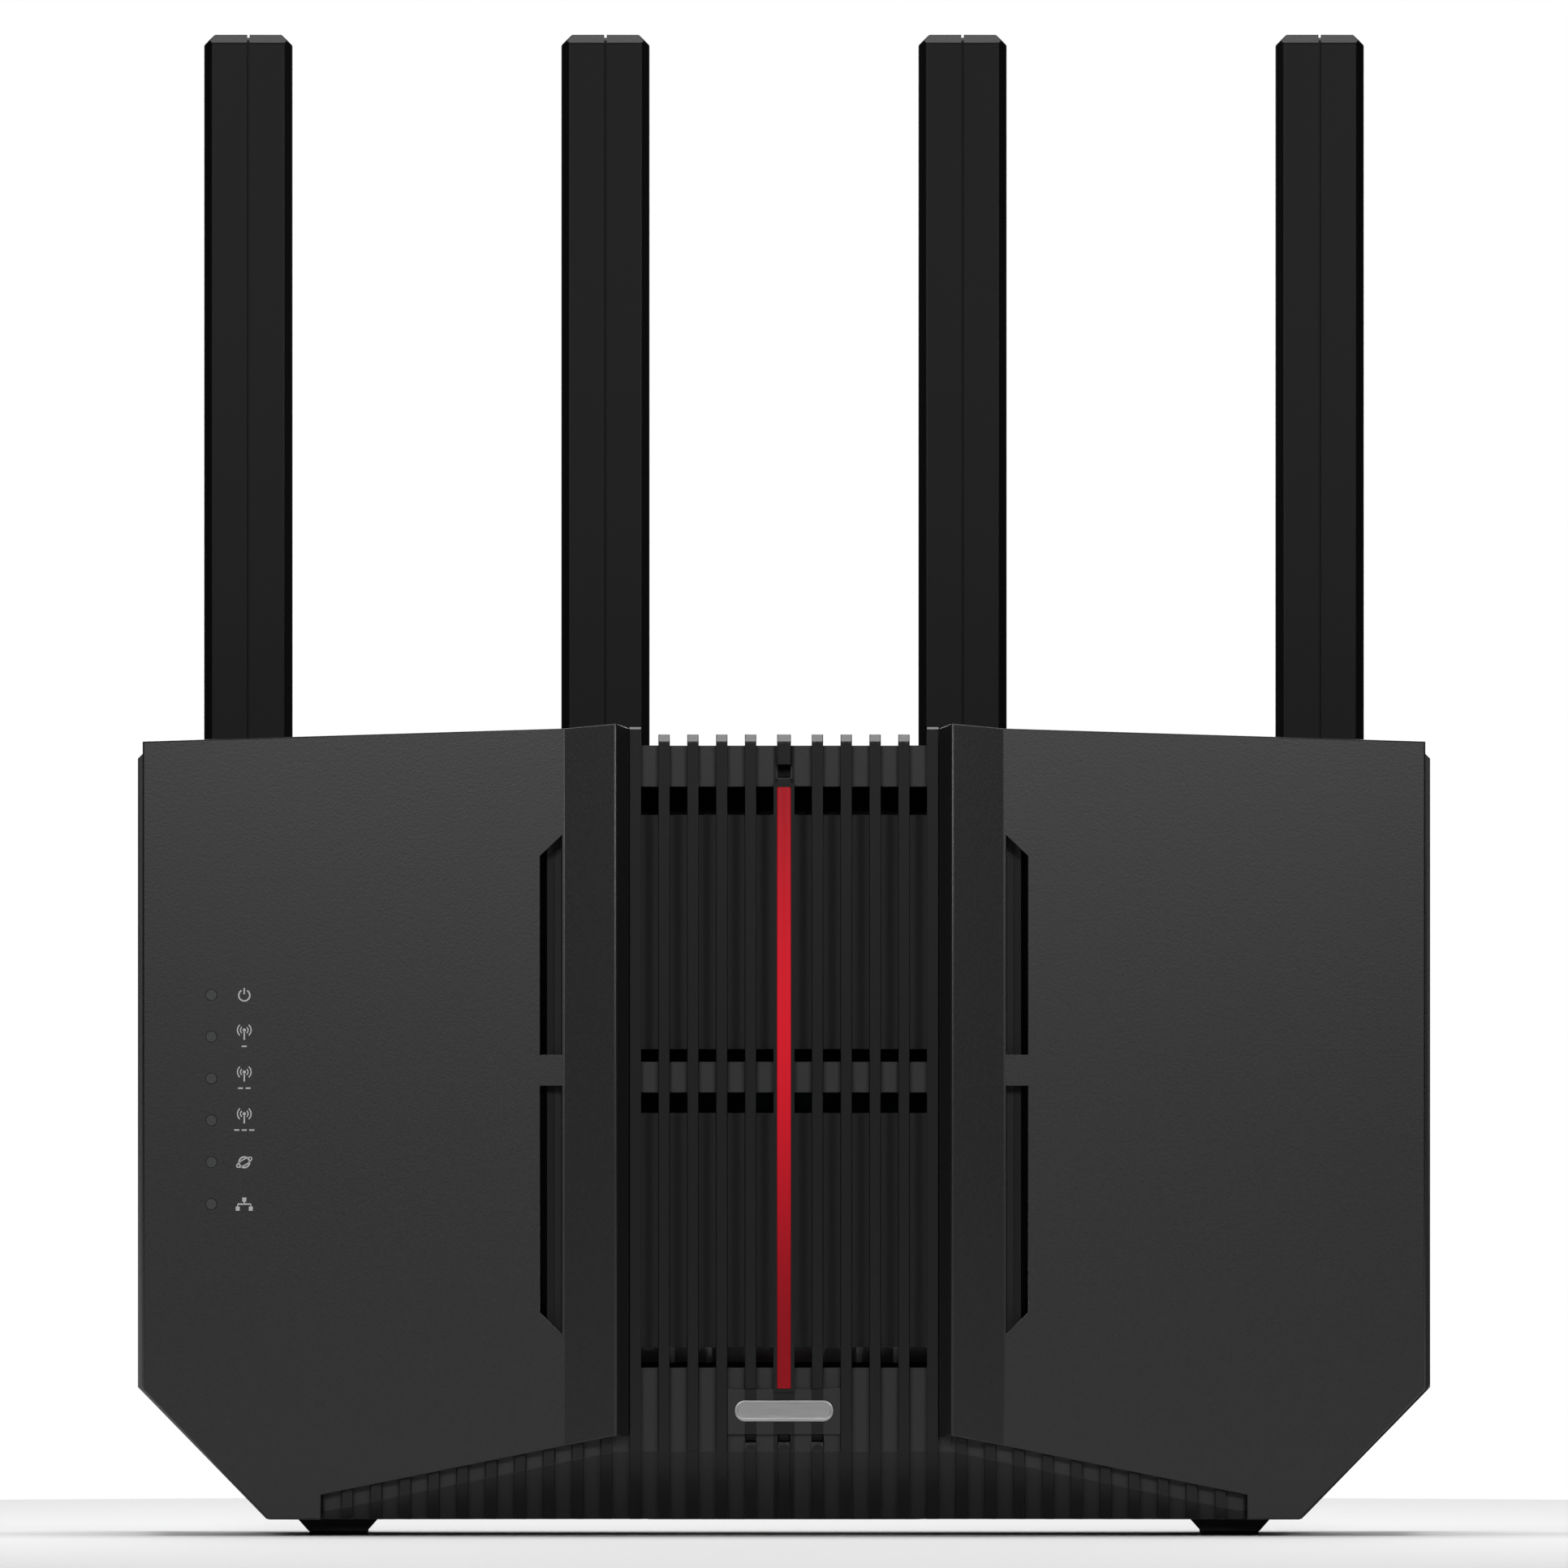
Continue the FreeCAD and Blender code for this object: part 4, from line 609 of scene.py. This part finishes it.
def softened(node, slot, *passes, finish=None):
    """A merged copy of a CAD node with its real edges rounded, in its place.

    Each pass is (rounding, segments, least edge length in mm, which edges). Flat faces keep
    flat shading, roundings and the narrow facets of cylinders are smooth. A face too narrow
    for two roundings keeps its edges. A finish names the pass whose roundings get a second
    material, and that material.
    """
    mesh = NODES[node].data.copy()
    mesh.name = node + "_finished"
    mesh.materials.clear()
    work = bmesh.new()
    work.from_mesh(mesh)
    bmesh.ops.remove_doubles(work, verts=work.verts, dist=2e-6)
    bmesh.ops.dissolve_limit(work, angle_limit=FLAT_TURN, verts=work.verts,
                             edges=work.edges, use_dissolve_boundaries=False)
    least, most = FACET_TURN
    slight = {face for edge in work.edges if least < edge.calc_face_angle(0.0) < most
              for face in edge.link_faces}
    for face in work.faces:
        longest = max(edge.calc_length() for edge in face.edges)
        face.smooth = face in slight and face.calc_area() / longest < FACET_WIDTH * MM
    rounded = work.faces.layers.int.new("rounded")
    for step, (rounding, segments, shortest, wanted) in enumerate(passes):
        cramped = {face for face in work.faces if not face.smooth and face.calc_area()
                   < 2.2 * rounding * max(edge.calc_length() for edge in face.edges)}
        chosen = [edge for edge in work.edges
                  if edge.calc_face_angle(0.0) > EDGE_TURN
                  and edge.calc_length() > shortest * MM
                  and not all(face.smooth for face in edge.link_faces)
                  and not any(face[rounded] or face in cramped for face in edge.link_faces)
                  and wanted(edge)]
        result = bmesh.ops.bevel(work, geom=chosen, offset=rounding, offset_type="OFFSET",
                                 segments=segments, profile=0.5, affect="EDGES",
                                 clamp_overlap=False, loop_slide=False)
        for face in result["faces"]:
            face.smooth = True
            face[rounded] = 1
            face.material_index = int(finish is not None and finish[0] == step)
    work.normal_update()
    for edge in work.edges:
        edge.smooth = edge.calc_face_angle(0.0) < SHARP_TURN
    work.to_mesh(mesh)
    work.free()
    mesh.materials.append(finish_of(slot))
    if finish:
        mesh.materials.append(finish_of(finish[1]))
    piece = bpy.data.objects.new(mesh.name, mesh)
    bpy.context.scene.collection.objects.link(piece)
    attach(piece, BODY_OF[node])
    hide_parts(node)
    return piece


def finish_node(node, slot):
    """A CAD node kept as it is, with its finish."""
    mesh = NODES[node].data
    mesh.materials.clear()
    mesh.materials.append(finish_of(slot))


def millimetres(node):
    """The low and high corner of a CAD node in millimetres."""
    low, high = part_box(node)
    return np.array(low) / MM, np.array(high) / MM


def centre_of(node):
    """The middle of a CAD node in millimetres."""
    low, high = millimetres(node)
    return (low + high) / 2


# ---------------------------------------------------------------- operators
class RouterFrontPanels(bpy.types.Operator):
    """Swept front panels with their folded pillars"""
    bl_idname = "router.front_panels"
    bl_label = "Front panels"

    def execute(self, context):
        for node in ("wing_panel_left", "wing_panel_right"):
            softened(node, "panel_plastic",
                     (sizes().panel_edge, 3, 1.0,
                      lambda edge: front_edge(edge) and not self.by_vent(edge)),
                     (0.3 * sizes().panel_edge, 2, 1.0,
                      lambda edge: front_edge(edge) and self.by_vent(edge)))
        return {"FINISHED"}

    def by_vent(self, edge):
        """The fold and the vents lie too close together for the full rounding."""
        reach = abs(edge.verts[0].co.x + edge.verts[1].co.x) / 2
        return PANEL_FOLD_X - 0.1 < reach / MM < PANEL_FOLD_X + 5.0


class RouterGrille(bpy.types.Operator):
    """Front housing with bars, beams and ribbed base"""
    bl_idname = "router.grille"
    bl_label = "Grille"

    def execute(self, context):
        softened("front_housing", "grille_plastic",
                 (sizes().rib_edge, 2, 1.0, lambda edge: front_edge(edge) and clean(edge)
                  and not self.by_ledge(edge)))
        return {"FINISHED"}

    def by_ledge(self, edge):
        """The recesses end so close to the edge bars that no rounding fits between them."""
        return any(abs(abs(vert.co.x) / MM - EDGE_BAR_SIDE) < 0.05 for vert in edge.verts)


class RouterRearCover(bpy.types.Operator):
    """Rear cover with antenna towers, cooling slots and socket bay"""
    bl_idname = "router.rear_cover"
    bl_label = "Rear cover"

    def execute(self, context):
        low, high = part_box("rear_cover")

        def outer(edge):
            """Edges that can be seen from outside: one face looks back, out, up or down."""
            middle = (edge.verts[0].co + edge.verts[1].co) / 2
            return (max(face.normal.y for face in edge.link_faces) > 0.3
                    and middle.y > 0.5 * low[1])

        def rim(edge):
            """The outline of the front opening."""
            ends = [vert.co for vert in edge.verts]
            on_front = all(abs(end.y - low[1]) < 0.01 * MM for end in ends)
            return on_front and any(
                abs(face.normal.y) < 0.5 and face.normal.dot(ends[0] - COVER_MIDDLE) > 0
                for face in edge.link_faces)

        # The rim's roundings take the lighter rim colour, a painted highlight; the other roundings
        # keep the cover's own finish.
        softened("rear_cover", "cover_plastic", (sizes().rim_edge, 3, 2.0, rim),
                 (sizes().cover_edge, 2, 2.4, outer), finish=(0, "rim"))
        return {"FINISHED"}


class RouterAntennas(bpy.types.Operator):
    """Paddles, turrets, pins and what is inside them"""
    bl_idname = "router.antennas"
    bl_label = "Antennas"

    def execute(self, context):
        for index in range(1, 5):
            tag = f"antenna_{index}"
            for part in ("front_shell", "rear_shell"):
                middle = centre_of(f"{tag}_{part}")[0] * MM
                softened(f"{tag}_{part}", "antenna_plastic",
                         (sizes().paddle_edge, 2, 0.8,
                          lambda edge: abs(edge.verts[0].co.x - middle) > 0.5 * MM
                          and edge.verts[0].co.z > HINGE_Z * MM))
            softened(f"{tag}_turret", "antenna_plastic",
                     (sizes().paddle_edge, 2, 2.0, lambda edge: True))
            self.pin(tag)
            for part in ("clip", "element"):
                finish_node(f"{tag}_{part}", SLOT_OF[f"{tag}_{part}"])
        return {"FINISHED"}

    def pin(self, tag):
        """A domed pin: a cylinder whose ends round over like a quarter circle."""
        node = tag + "_hinge_pin"
        low, high = millimetres(node)
        radius = (high[2] - low[2]) / 2
        t = np.linspace(0, np.pi / 2, 6)
        bead = 0.5
        end = np.stack([radius - bead + bead * np.sin(t), bead - bead * np.cos(t)], 1)
        profile = np.concatenate([[[0.0, low[0]]], end + [0, low[0]],
                                  (end * [1, -1] + [0, high[0]])[::-1], [[0.0, high[0]]]])
        centre = centre_of(node)
        new_piece(node + "_finished", [turned(profile, (0, centre[1], centre[2]), "x", 32)],
                  "screw_steel", BODY_OF[node], (node,))


class RouterLightStrip(bpy.types.Operator):
    """Red light guide down the middle of the grille"""
    bl_idname = "router.light_strip"
    bl_label = "Light strip"

    def execute(self, context):
        low, high = millimetres("accent_strip")
        new_piece("accent_strip_finished", [block(low, high, "y", 0.3, 0.3)], "red_lens",
                  "housing", ("accent_strip",))
        finish_node("accent_led_board", "circuit_board")
        return {"FINISHED"}


class RouterNamePlate(bpy.types.Operator):
    """Blank name plate with a plain raised rim"""
    bl_idname = "router.name_plate"
    bl_label = "Name plate"

    def execute(self, context):
        low, high = millimetres("badge_plate")
        corners = [(low[0], low[2]), (high[0], low[2]), (high[0], high[2]), (low[0], high[2])]
        radius = (high[2] - low[2]) / 2 - 0.01
        outline, normal = soft_outline(corners, radius, 12)
        # Distance in from the edge and height: a wall, a rounded rim and a shallow floor.
        steps = np.array([(0.0, 0.0), (0.0, 0.25), (0.05, 0.36), (0.14, 0.4), (0.45, 0.4),
                          (0.55, 0.36), (0.62, 0.28), (0.8, 0.26)])
        ring = outline[None] - steps[:, 0][:, None, None] * normal[None]
        level = high[1] - steps[:, 1]
        new_piece("badge_plate_finished", [capped(turned_to("y", ring, level[:, None]))],
                  "badge_metal", "housing", ("badge_plate",))
        return {"FINISHED"}


class RouterStatusLights(bpy.types.Operator):
    """Status windows, their carrier and the printed symbols beside them"""
    bl_idname = "router.status_lights"
    bl_label = "Status lights"

    def execute(self, context):
        finish_node("status_light_pipes", "clear_plastic")
        finish_node("status_led_board", "circuit_board")
        line = sizes().ink_line / MM
        marks = [mark for row in range(6)
                 for mark in self.symbol(row, STATUS_LOW + STATUS_PITCH * (5 - row), line)]
        patches = []
        for flat, lift, faces in marks:
            depth = PANEL_FOLD_Y + PANEL_SWEEP * (-flat[:, 0] - PANEL_FOLD_X)
            y = depth + 0.01 - lift * (sizes().ink_lift / MM + 0.01)
            patches.append((np.stack([flat[:, 0], y, flat[:, 1]], 1), faces))
        new_piece("status_symbols", patches, "ink", "housing", ())
        return {"FINISHED"}

    def symbol(self, row, z, line):
        """Power, three wireless marks with one to three ticks, a globe, a small network."""
        x = SYMBOL_X
        if row == 0:
            return [ribbon(arc((x, z - 0.1), 1.1, 120, 420), line),
                    ribbon([(x, z + 0.1), (x, z + 1.35)], line)]
        if row in (1, 2, 3):
            top = z + 1.3
            marks = [ribbon(arc((x, top), radius, start, start + 100, 12), line * 0.8)
                     for radius in (0.75, 1.35) for start in (-50, 130)]
            marks.append(ribbon(arc((x, top), 0.18, 0, 330, 10), line, closed=True))
            marks.append(ribbon([(x, top - 0.4), (x, top - 1.1), (x, top - 1.9)], line))
            marks += [ribbon([(x + 1.5 * (tick - (row - 1) / 2) - 0.5, z - 1.9),
                              (x + 1.5 * (tick - (row - 1) / 2) + 0.5, z - 1.9)], line)
                      for tick in range(row)]
            return marks
        if row == 4:
            angle = np.radians(np.linspace(0, 360, 32, endpoint=False))
            tilt = math.radians(30)
            long_way, short_way = 1.7 * np.cos(angle), 0.55 * np.sin(angle)
            orbit = np.stack([x + long_way * math.cos(tilt) - short_way * math.sin(tilt),
                              z + long_way * math.sin(tilt) + short_way * math.cos(tilt)], 1)
            return [ribbon(arc((x, z), 1.05, 0, 345, 24), line, closed=True),
                    ribbon(orbit, line * 0.8, closed=True)]
        boxes = [(x, z + 0.9), (x - 1.3, z - 0.9), (x + 1.3, z - 0.9)]
        marks = [ribbon([(a - 0.4, b), (a + 0.4, b)], 0.8) for a, b in boxes]
        marks.append(ribbon([(x, z + 0.5), (x, z)], line))
        marks.append(ribbon([(x - 1.3, z - 0.5), (x - 1.3, z), (x + 1.3, z), (x + 1.3, z - 0.5)],
                            line))
        return marks


class RouterSockets(bpy.types.Operator):
    """Network, USB and power sockets with their contacts"""
    bl_idname = "router.sockets"
    bl_label = "Sockets"

    def execute(self, context):
        for node in ("wan_jack", "lan_jacks"):
            softened(node, SLOT_OF[node], (0.2 * MM, 2, 1.0, rear_edge))
        self.usb()
        self.power()
        low, high = millimetres("lan_jacks")
        middle = (low[0] + high[0]) / 2
        centres = [centre_of("wan_jack")[0]]
        centres += [middle + LAN_PITCH * (step - 1.5) for step in range(4)]
        springs = [self.spring(x + CONTACT_PITCH * (finger - (CONTACTS - 1) / 2), high[1])
                   for x in centres for finger in range(CONTACTS)]
        new_piece("network_contacts", springs, "brass_contact", "housing")
        return {"FINISHED"}

    def spring(self, x, front):
        """A contact wire: it starts high near the mouth and slopes down into the socket."""
        z_high = SOCKET_Z + 3.2
        path = np.array([(front - 12.8, z_high - 5.4), (front - 9.5, z_high - 2.6),
                         (front - 4.0, z_high - 0.2), (front - 3.4, z_high + 0.2)])
        section = np.array([(-0.2, -0.15), (0.2, -0.15), (0.2, 0.15), (-0.2, 0.15)])
        forward = np.gradient(path, axis=0)
        forward /= np.linalg.norm(forward, axis=1, keepdims=True)
        across = np.stack([-forward[:, 1], forward[:, 0]], 1)
        y = path[:, None, 0] + across[:, None, 0] * section[None, :, 1]
        z = path[:, None, 1] + across[:, None, 1] * section[None, :, 1]
        width = np.broadcast_to(x + section[None, :, 0], y.shape)
        return capped(np.stack([width, y, z], -1))

    def usb(self):
        """The plated shell with its black tongue and four pads on it."""
        shell = softened("usb_socket", "tinned_steel", (0.12 * MM, 2, 1.0, rear_edge))
        mesh = shell.data
        mesh.materials.append(finish_of("socket_black"))
        centres = np.zeros(len(mesh.polygons) * 3)
        mesh.polygons.foreach_get("center", centres)
        centres = centres.reshape(-1, 3) / MM
        middle = centre_of("usb_socket")
        tongue = ((np.abs(centres[:, 0] - middle[0]) < 5.8) & (centres[:, 2] > middle[2] + 0.5)
                  & (centres[:, 2] < middle[2] + 2.5) & (centres[:, 1] > 14))
        mesh.polygons.foreach_set("material_index", tongue.astype(np.int32))
        high = millimetres("usb_socket")[1]
        pads = [block((middle[0] + x - 0.6, high[1] - 9, middle[2] + 0.45),
                      (middle[0] + x + 0.6, high[1] - 2, middle[2] + 0.62), "y", 0.05, 0.05)
                for x in (-3.6, -1.2, 1.2, 3.6)]
        new_piece("usb_contacts", pads, "brass_contact", "housing")

    def power(self):
        """The inlet with its centre pin: a cylinder that narrows to a blunt tip."""
        softened("dc_socket", "socket_black", (0.2 * MM, 2, 1.0, rear_edge))
        centre = centre_of("dc_socket")
        high = millimetres("dc_socket")[1]
        profile = [(0.0, high[1] - 10.5), (1.06, high[1] - 10.5), (1.06, high[1] - 1.6),
                   (0.85, high[1] - 1.1), (0.4, high[1] - 0.8), (0.0, high[1] - 0.75)]
        new_piece("dc_pin", [turned(profile, (centre[0], 0, centre[2]), "y", 24)],
                  "tinned_steel", "housing")


class RouterButtons(bpy.types.Operator):
    """Power, pairing and reset buttons with the switches behind them"""
    bl_idname = "router.buttons"
    bl_label = "Buttons"

    def execute(self, context):
        softened("power_button", "button_plastic", (0.4 * MM, 3, 1.0, rear_edge))
        softened("pairing_button", "button_plastic", (0.3 * MM, 3, 0.1, rear_edge))
        for node in ("reset_plunger", "power_switch", "pairing_switch", "reset_switch"):
            finish_node(node, SLOT_OF[node])
        return {"FINISHED"}


class RouterFeet(bpy.types.Operator):
    """Runners and rubber pads"""
    bl_idname = "router.feet"
    bl_label = "Feet"

    def execute(self, context):
        for node in ("foot_runner_left", "foot_runner_right"):
            softened(node, "foot_plastic", (0.25 * MM, 2, 1.0, lambda edge: True))
        low, high = millimetres("foot_pads")
        patches = []
        for node in ("foot_runner_left", "foot_runner_right"):
            x = centre_of(node)[0]
            patches.append(block((x - PAD_HALF, low[1], low[2]),
                                 (x + PAD_HALF, high[1], high[2]), "z", 1.5, 0.25))
        new_piece("foot_pads_finished", patches, "foot_rubber", "housing", ("foot_pads",))
        return {"FINISHED"}


class RouterBoards(bpy.types.Operator):
    """Main board and everything that stands on it"""
    bl_idname = "router.boards"
    bl_label = "Boards"

    def execute(self, context):
        for node in ("main_board", "processor_chips", "thermal_pads", "heat_sink", "shield_cans",
                     "board_components", "coax_sockets", "coax_leads", "board_screws"):
            finish_node(node, SLOT_OF[node])
        return {"FINISHED"}


class RouterScrews(bpy.types.Operator):
    """Housing screws of blackened steel"""
    bl_idname = "router.screws"
    bl_label = "Screws"

    def execute(self, context):
        finish_node("housing_screws", "screw_steel")
        return {"FINISHED"}


class RouterLabel(bpy.types.Operator):
    """Blank rating label under the base"""
    bl_idname = "router.label"
    bl_label = "Rating label"

    def execute(self, context):
        low, high = millimetres("rating_label")
        new_piece("rating_label_finished", [block(low, high, "z", 2.0, 0.05)], "label_film",
                  "housing", ("rating_label",))
        return {"FINISHED"}


class RouterStudio(bpy.types.Operator):
    """Pale floor, white air, soft lights and the camera"""
    bl_idname = "router.studio"
    bl_label = "Studio"

    def execute(self, context):
        scene = bpy.context.scene
        scene.view_settings.view_transform = "Standard"
        self.floor()
        for side, name in ((-1, "Left"), (1, "Right")):
            self.lamp(name + " front softbox", (0.33 * side, -0.9, 0.39), (0, 0, 0.2),
                      (0.24, 0.16), 0.36, 64)
            self.lamp(name + " rear softbox", (1.0 * side, 1.6, 0.7), (0, 0, 0.15),
                      (0.8, 1.0), 5, 180)
        self.lamp("Top softbox", (0, -0.02, 0.85), (0, 0, 0.1), (0.6, 0.3), 5.5, 180)
        self.lamp("Back softbox", (0, 2.0, 1.1), (0, 0, 0.12), (1.6, 0.8), 16, 180)
        self.air()
        camera = bpy.data.cameras.new("Camera")
        camera.sensor_width = 36.0
        camera.lens = 36.0 * CAMERA_REACH / FRAME_WIDTH
        camera.clip_end = 60.0
        holder = bpy.data.objects.new("Camera", camera)
        holder.location = (0.0, -CAMERA_REACH + PANEL_FOLD_Y * MM, FRAME_CENTRE)
        holder.rotation_euler = (math.pi / 2, 0, 0)
        scene.collection.objects.link(holder)
        scene.camera = holder
        return {"FINISHED"}

    def floor(self):
        """A level disc: rings of points at growing radius round the centre."""
        radius = np.array([0.02, 0.1, 0.2, 0.3, 0.42])
        angle = np.linspace(0, 2 * np.pi, 96, endpoint=False)
        ring = radius[:, None, None] * np.stack([np.cos(angle), np.sin(angle)], 1)[None]
        points, faces = capped(turned_to("z", ring, np.zeros((len(radius), 1))))
        mesh = bpy.data.meshes.new("Floor")
        mesh.from_pydata(points.tolist(), [], faces[:-1])
        paper, tree, shader = material("Matt paper", linear("#f6f6f6"), 0.9,
                                       Specular_IOR_Level=0.1)
        mottle(tree, shader, linear("#f6f6f6"), 3 * MM, 0.02 * MM, 0.01)
        mesh.materials.append(paper)
        disc = bpy.data.objects.new("Floor", mesh)
        bpy.context.scene.collection.objects.link(disc)

    def air(self):
        """White seen behind the object; a dim even fill for everything else."""
        world = bpy.data.worlds.new("Studio air")
        world.use_nodes = True
        tree = world.node_tree
        path = add(tree, "ShaderNodeLightPath")
        strength = add(tree, "ShaderNodeMapRange", [("Value", path.outputs["Is Camera Ray"])],
                       To_Min=0.03, To_Max=1.0)
        tree.links.new(strength.outputs["Result"], tree.nodes["Background"].inputs["Strength"])
        tree.nodes["Background"].inputs["Color"].default_value = (1.0, 1.0, 1.0, 1.0)
        bpy.context.scene.world = world

    def lamp(self, name, place, target, size, power, spread):
        """A rectangular softbox turned to its target; the spread is its beam in degrees."""
        light = bpy.data.lights.new(name, "AREA")
        light.shape = "RECTANGLE"
        light.size, light.size_y = size
        light.energy = power
        light.spread = math.radians(spread)
        holder = bpy.data.objects.new(name, light)
        holder.location = place
        aim = np.array(target, float) - np.array(place, float)
        yaw = math.atan2(aim[0], -aim[1])
        pitch = math.atan2(math.hypot(aim[0], aim[1]), -aim[2])
        holder.rotation_euler = (pitch, 0, yaw + math.pi)
        bpy.context.scene.collection.objects.link(holder)


STEPS = (RouterFrontPanels, RouterGrille, RouterRearCover, RouterAntennas, RouterLightStrip,
         RouterNamePlate, RouterStatusLights, RouterSockets, RouterButtons, RouterFeet,
         RouterBoards, RouterScrews, RouterLabel, RouterStudio)


class RouterPanel(bpy.types.Panel):
    """The router's pieces and settings in the sidebar"""
    bl_idname = "VIEW3D_PT_router"
    bl_label = "Router"
    bl_space_type = "VIEW_3D"
    bl_region_type = "UI"
    bl_category = "Router"

    def draw(self, context):
        for group in (colours(), sizes()):
            for name in group.__annotations__:
                self.layout.prop(group, name)
        for step in STEPS:
            self.layout.operator(step.bl_idname)


CLASSES = (RouterColours, RouterSizes, *STEPS, RouterPanel)


def register():
    for item in CLASSES:
        bpy.utils.register_class(item)
    bpy.types.Scene.router_colours = bpy.props.PointerProperty(type=RouterColours)
    bpy.types.Scene.router_sizes = bpy.props.PointerProperty(type=RouterSizes)


def unregister():
    del bpy.types.Scene.router_sizes
    del bpy.types.Scene.router_colours
    for item in reversed(CLASSES):
        bpy.utils.unregister_class(item)


def main():
    register()
    for step in STEPS:
        getattr(bpy.ops.router, step.bl_idname.split(".")[1])()


if __name__ == "__main__":
    main()
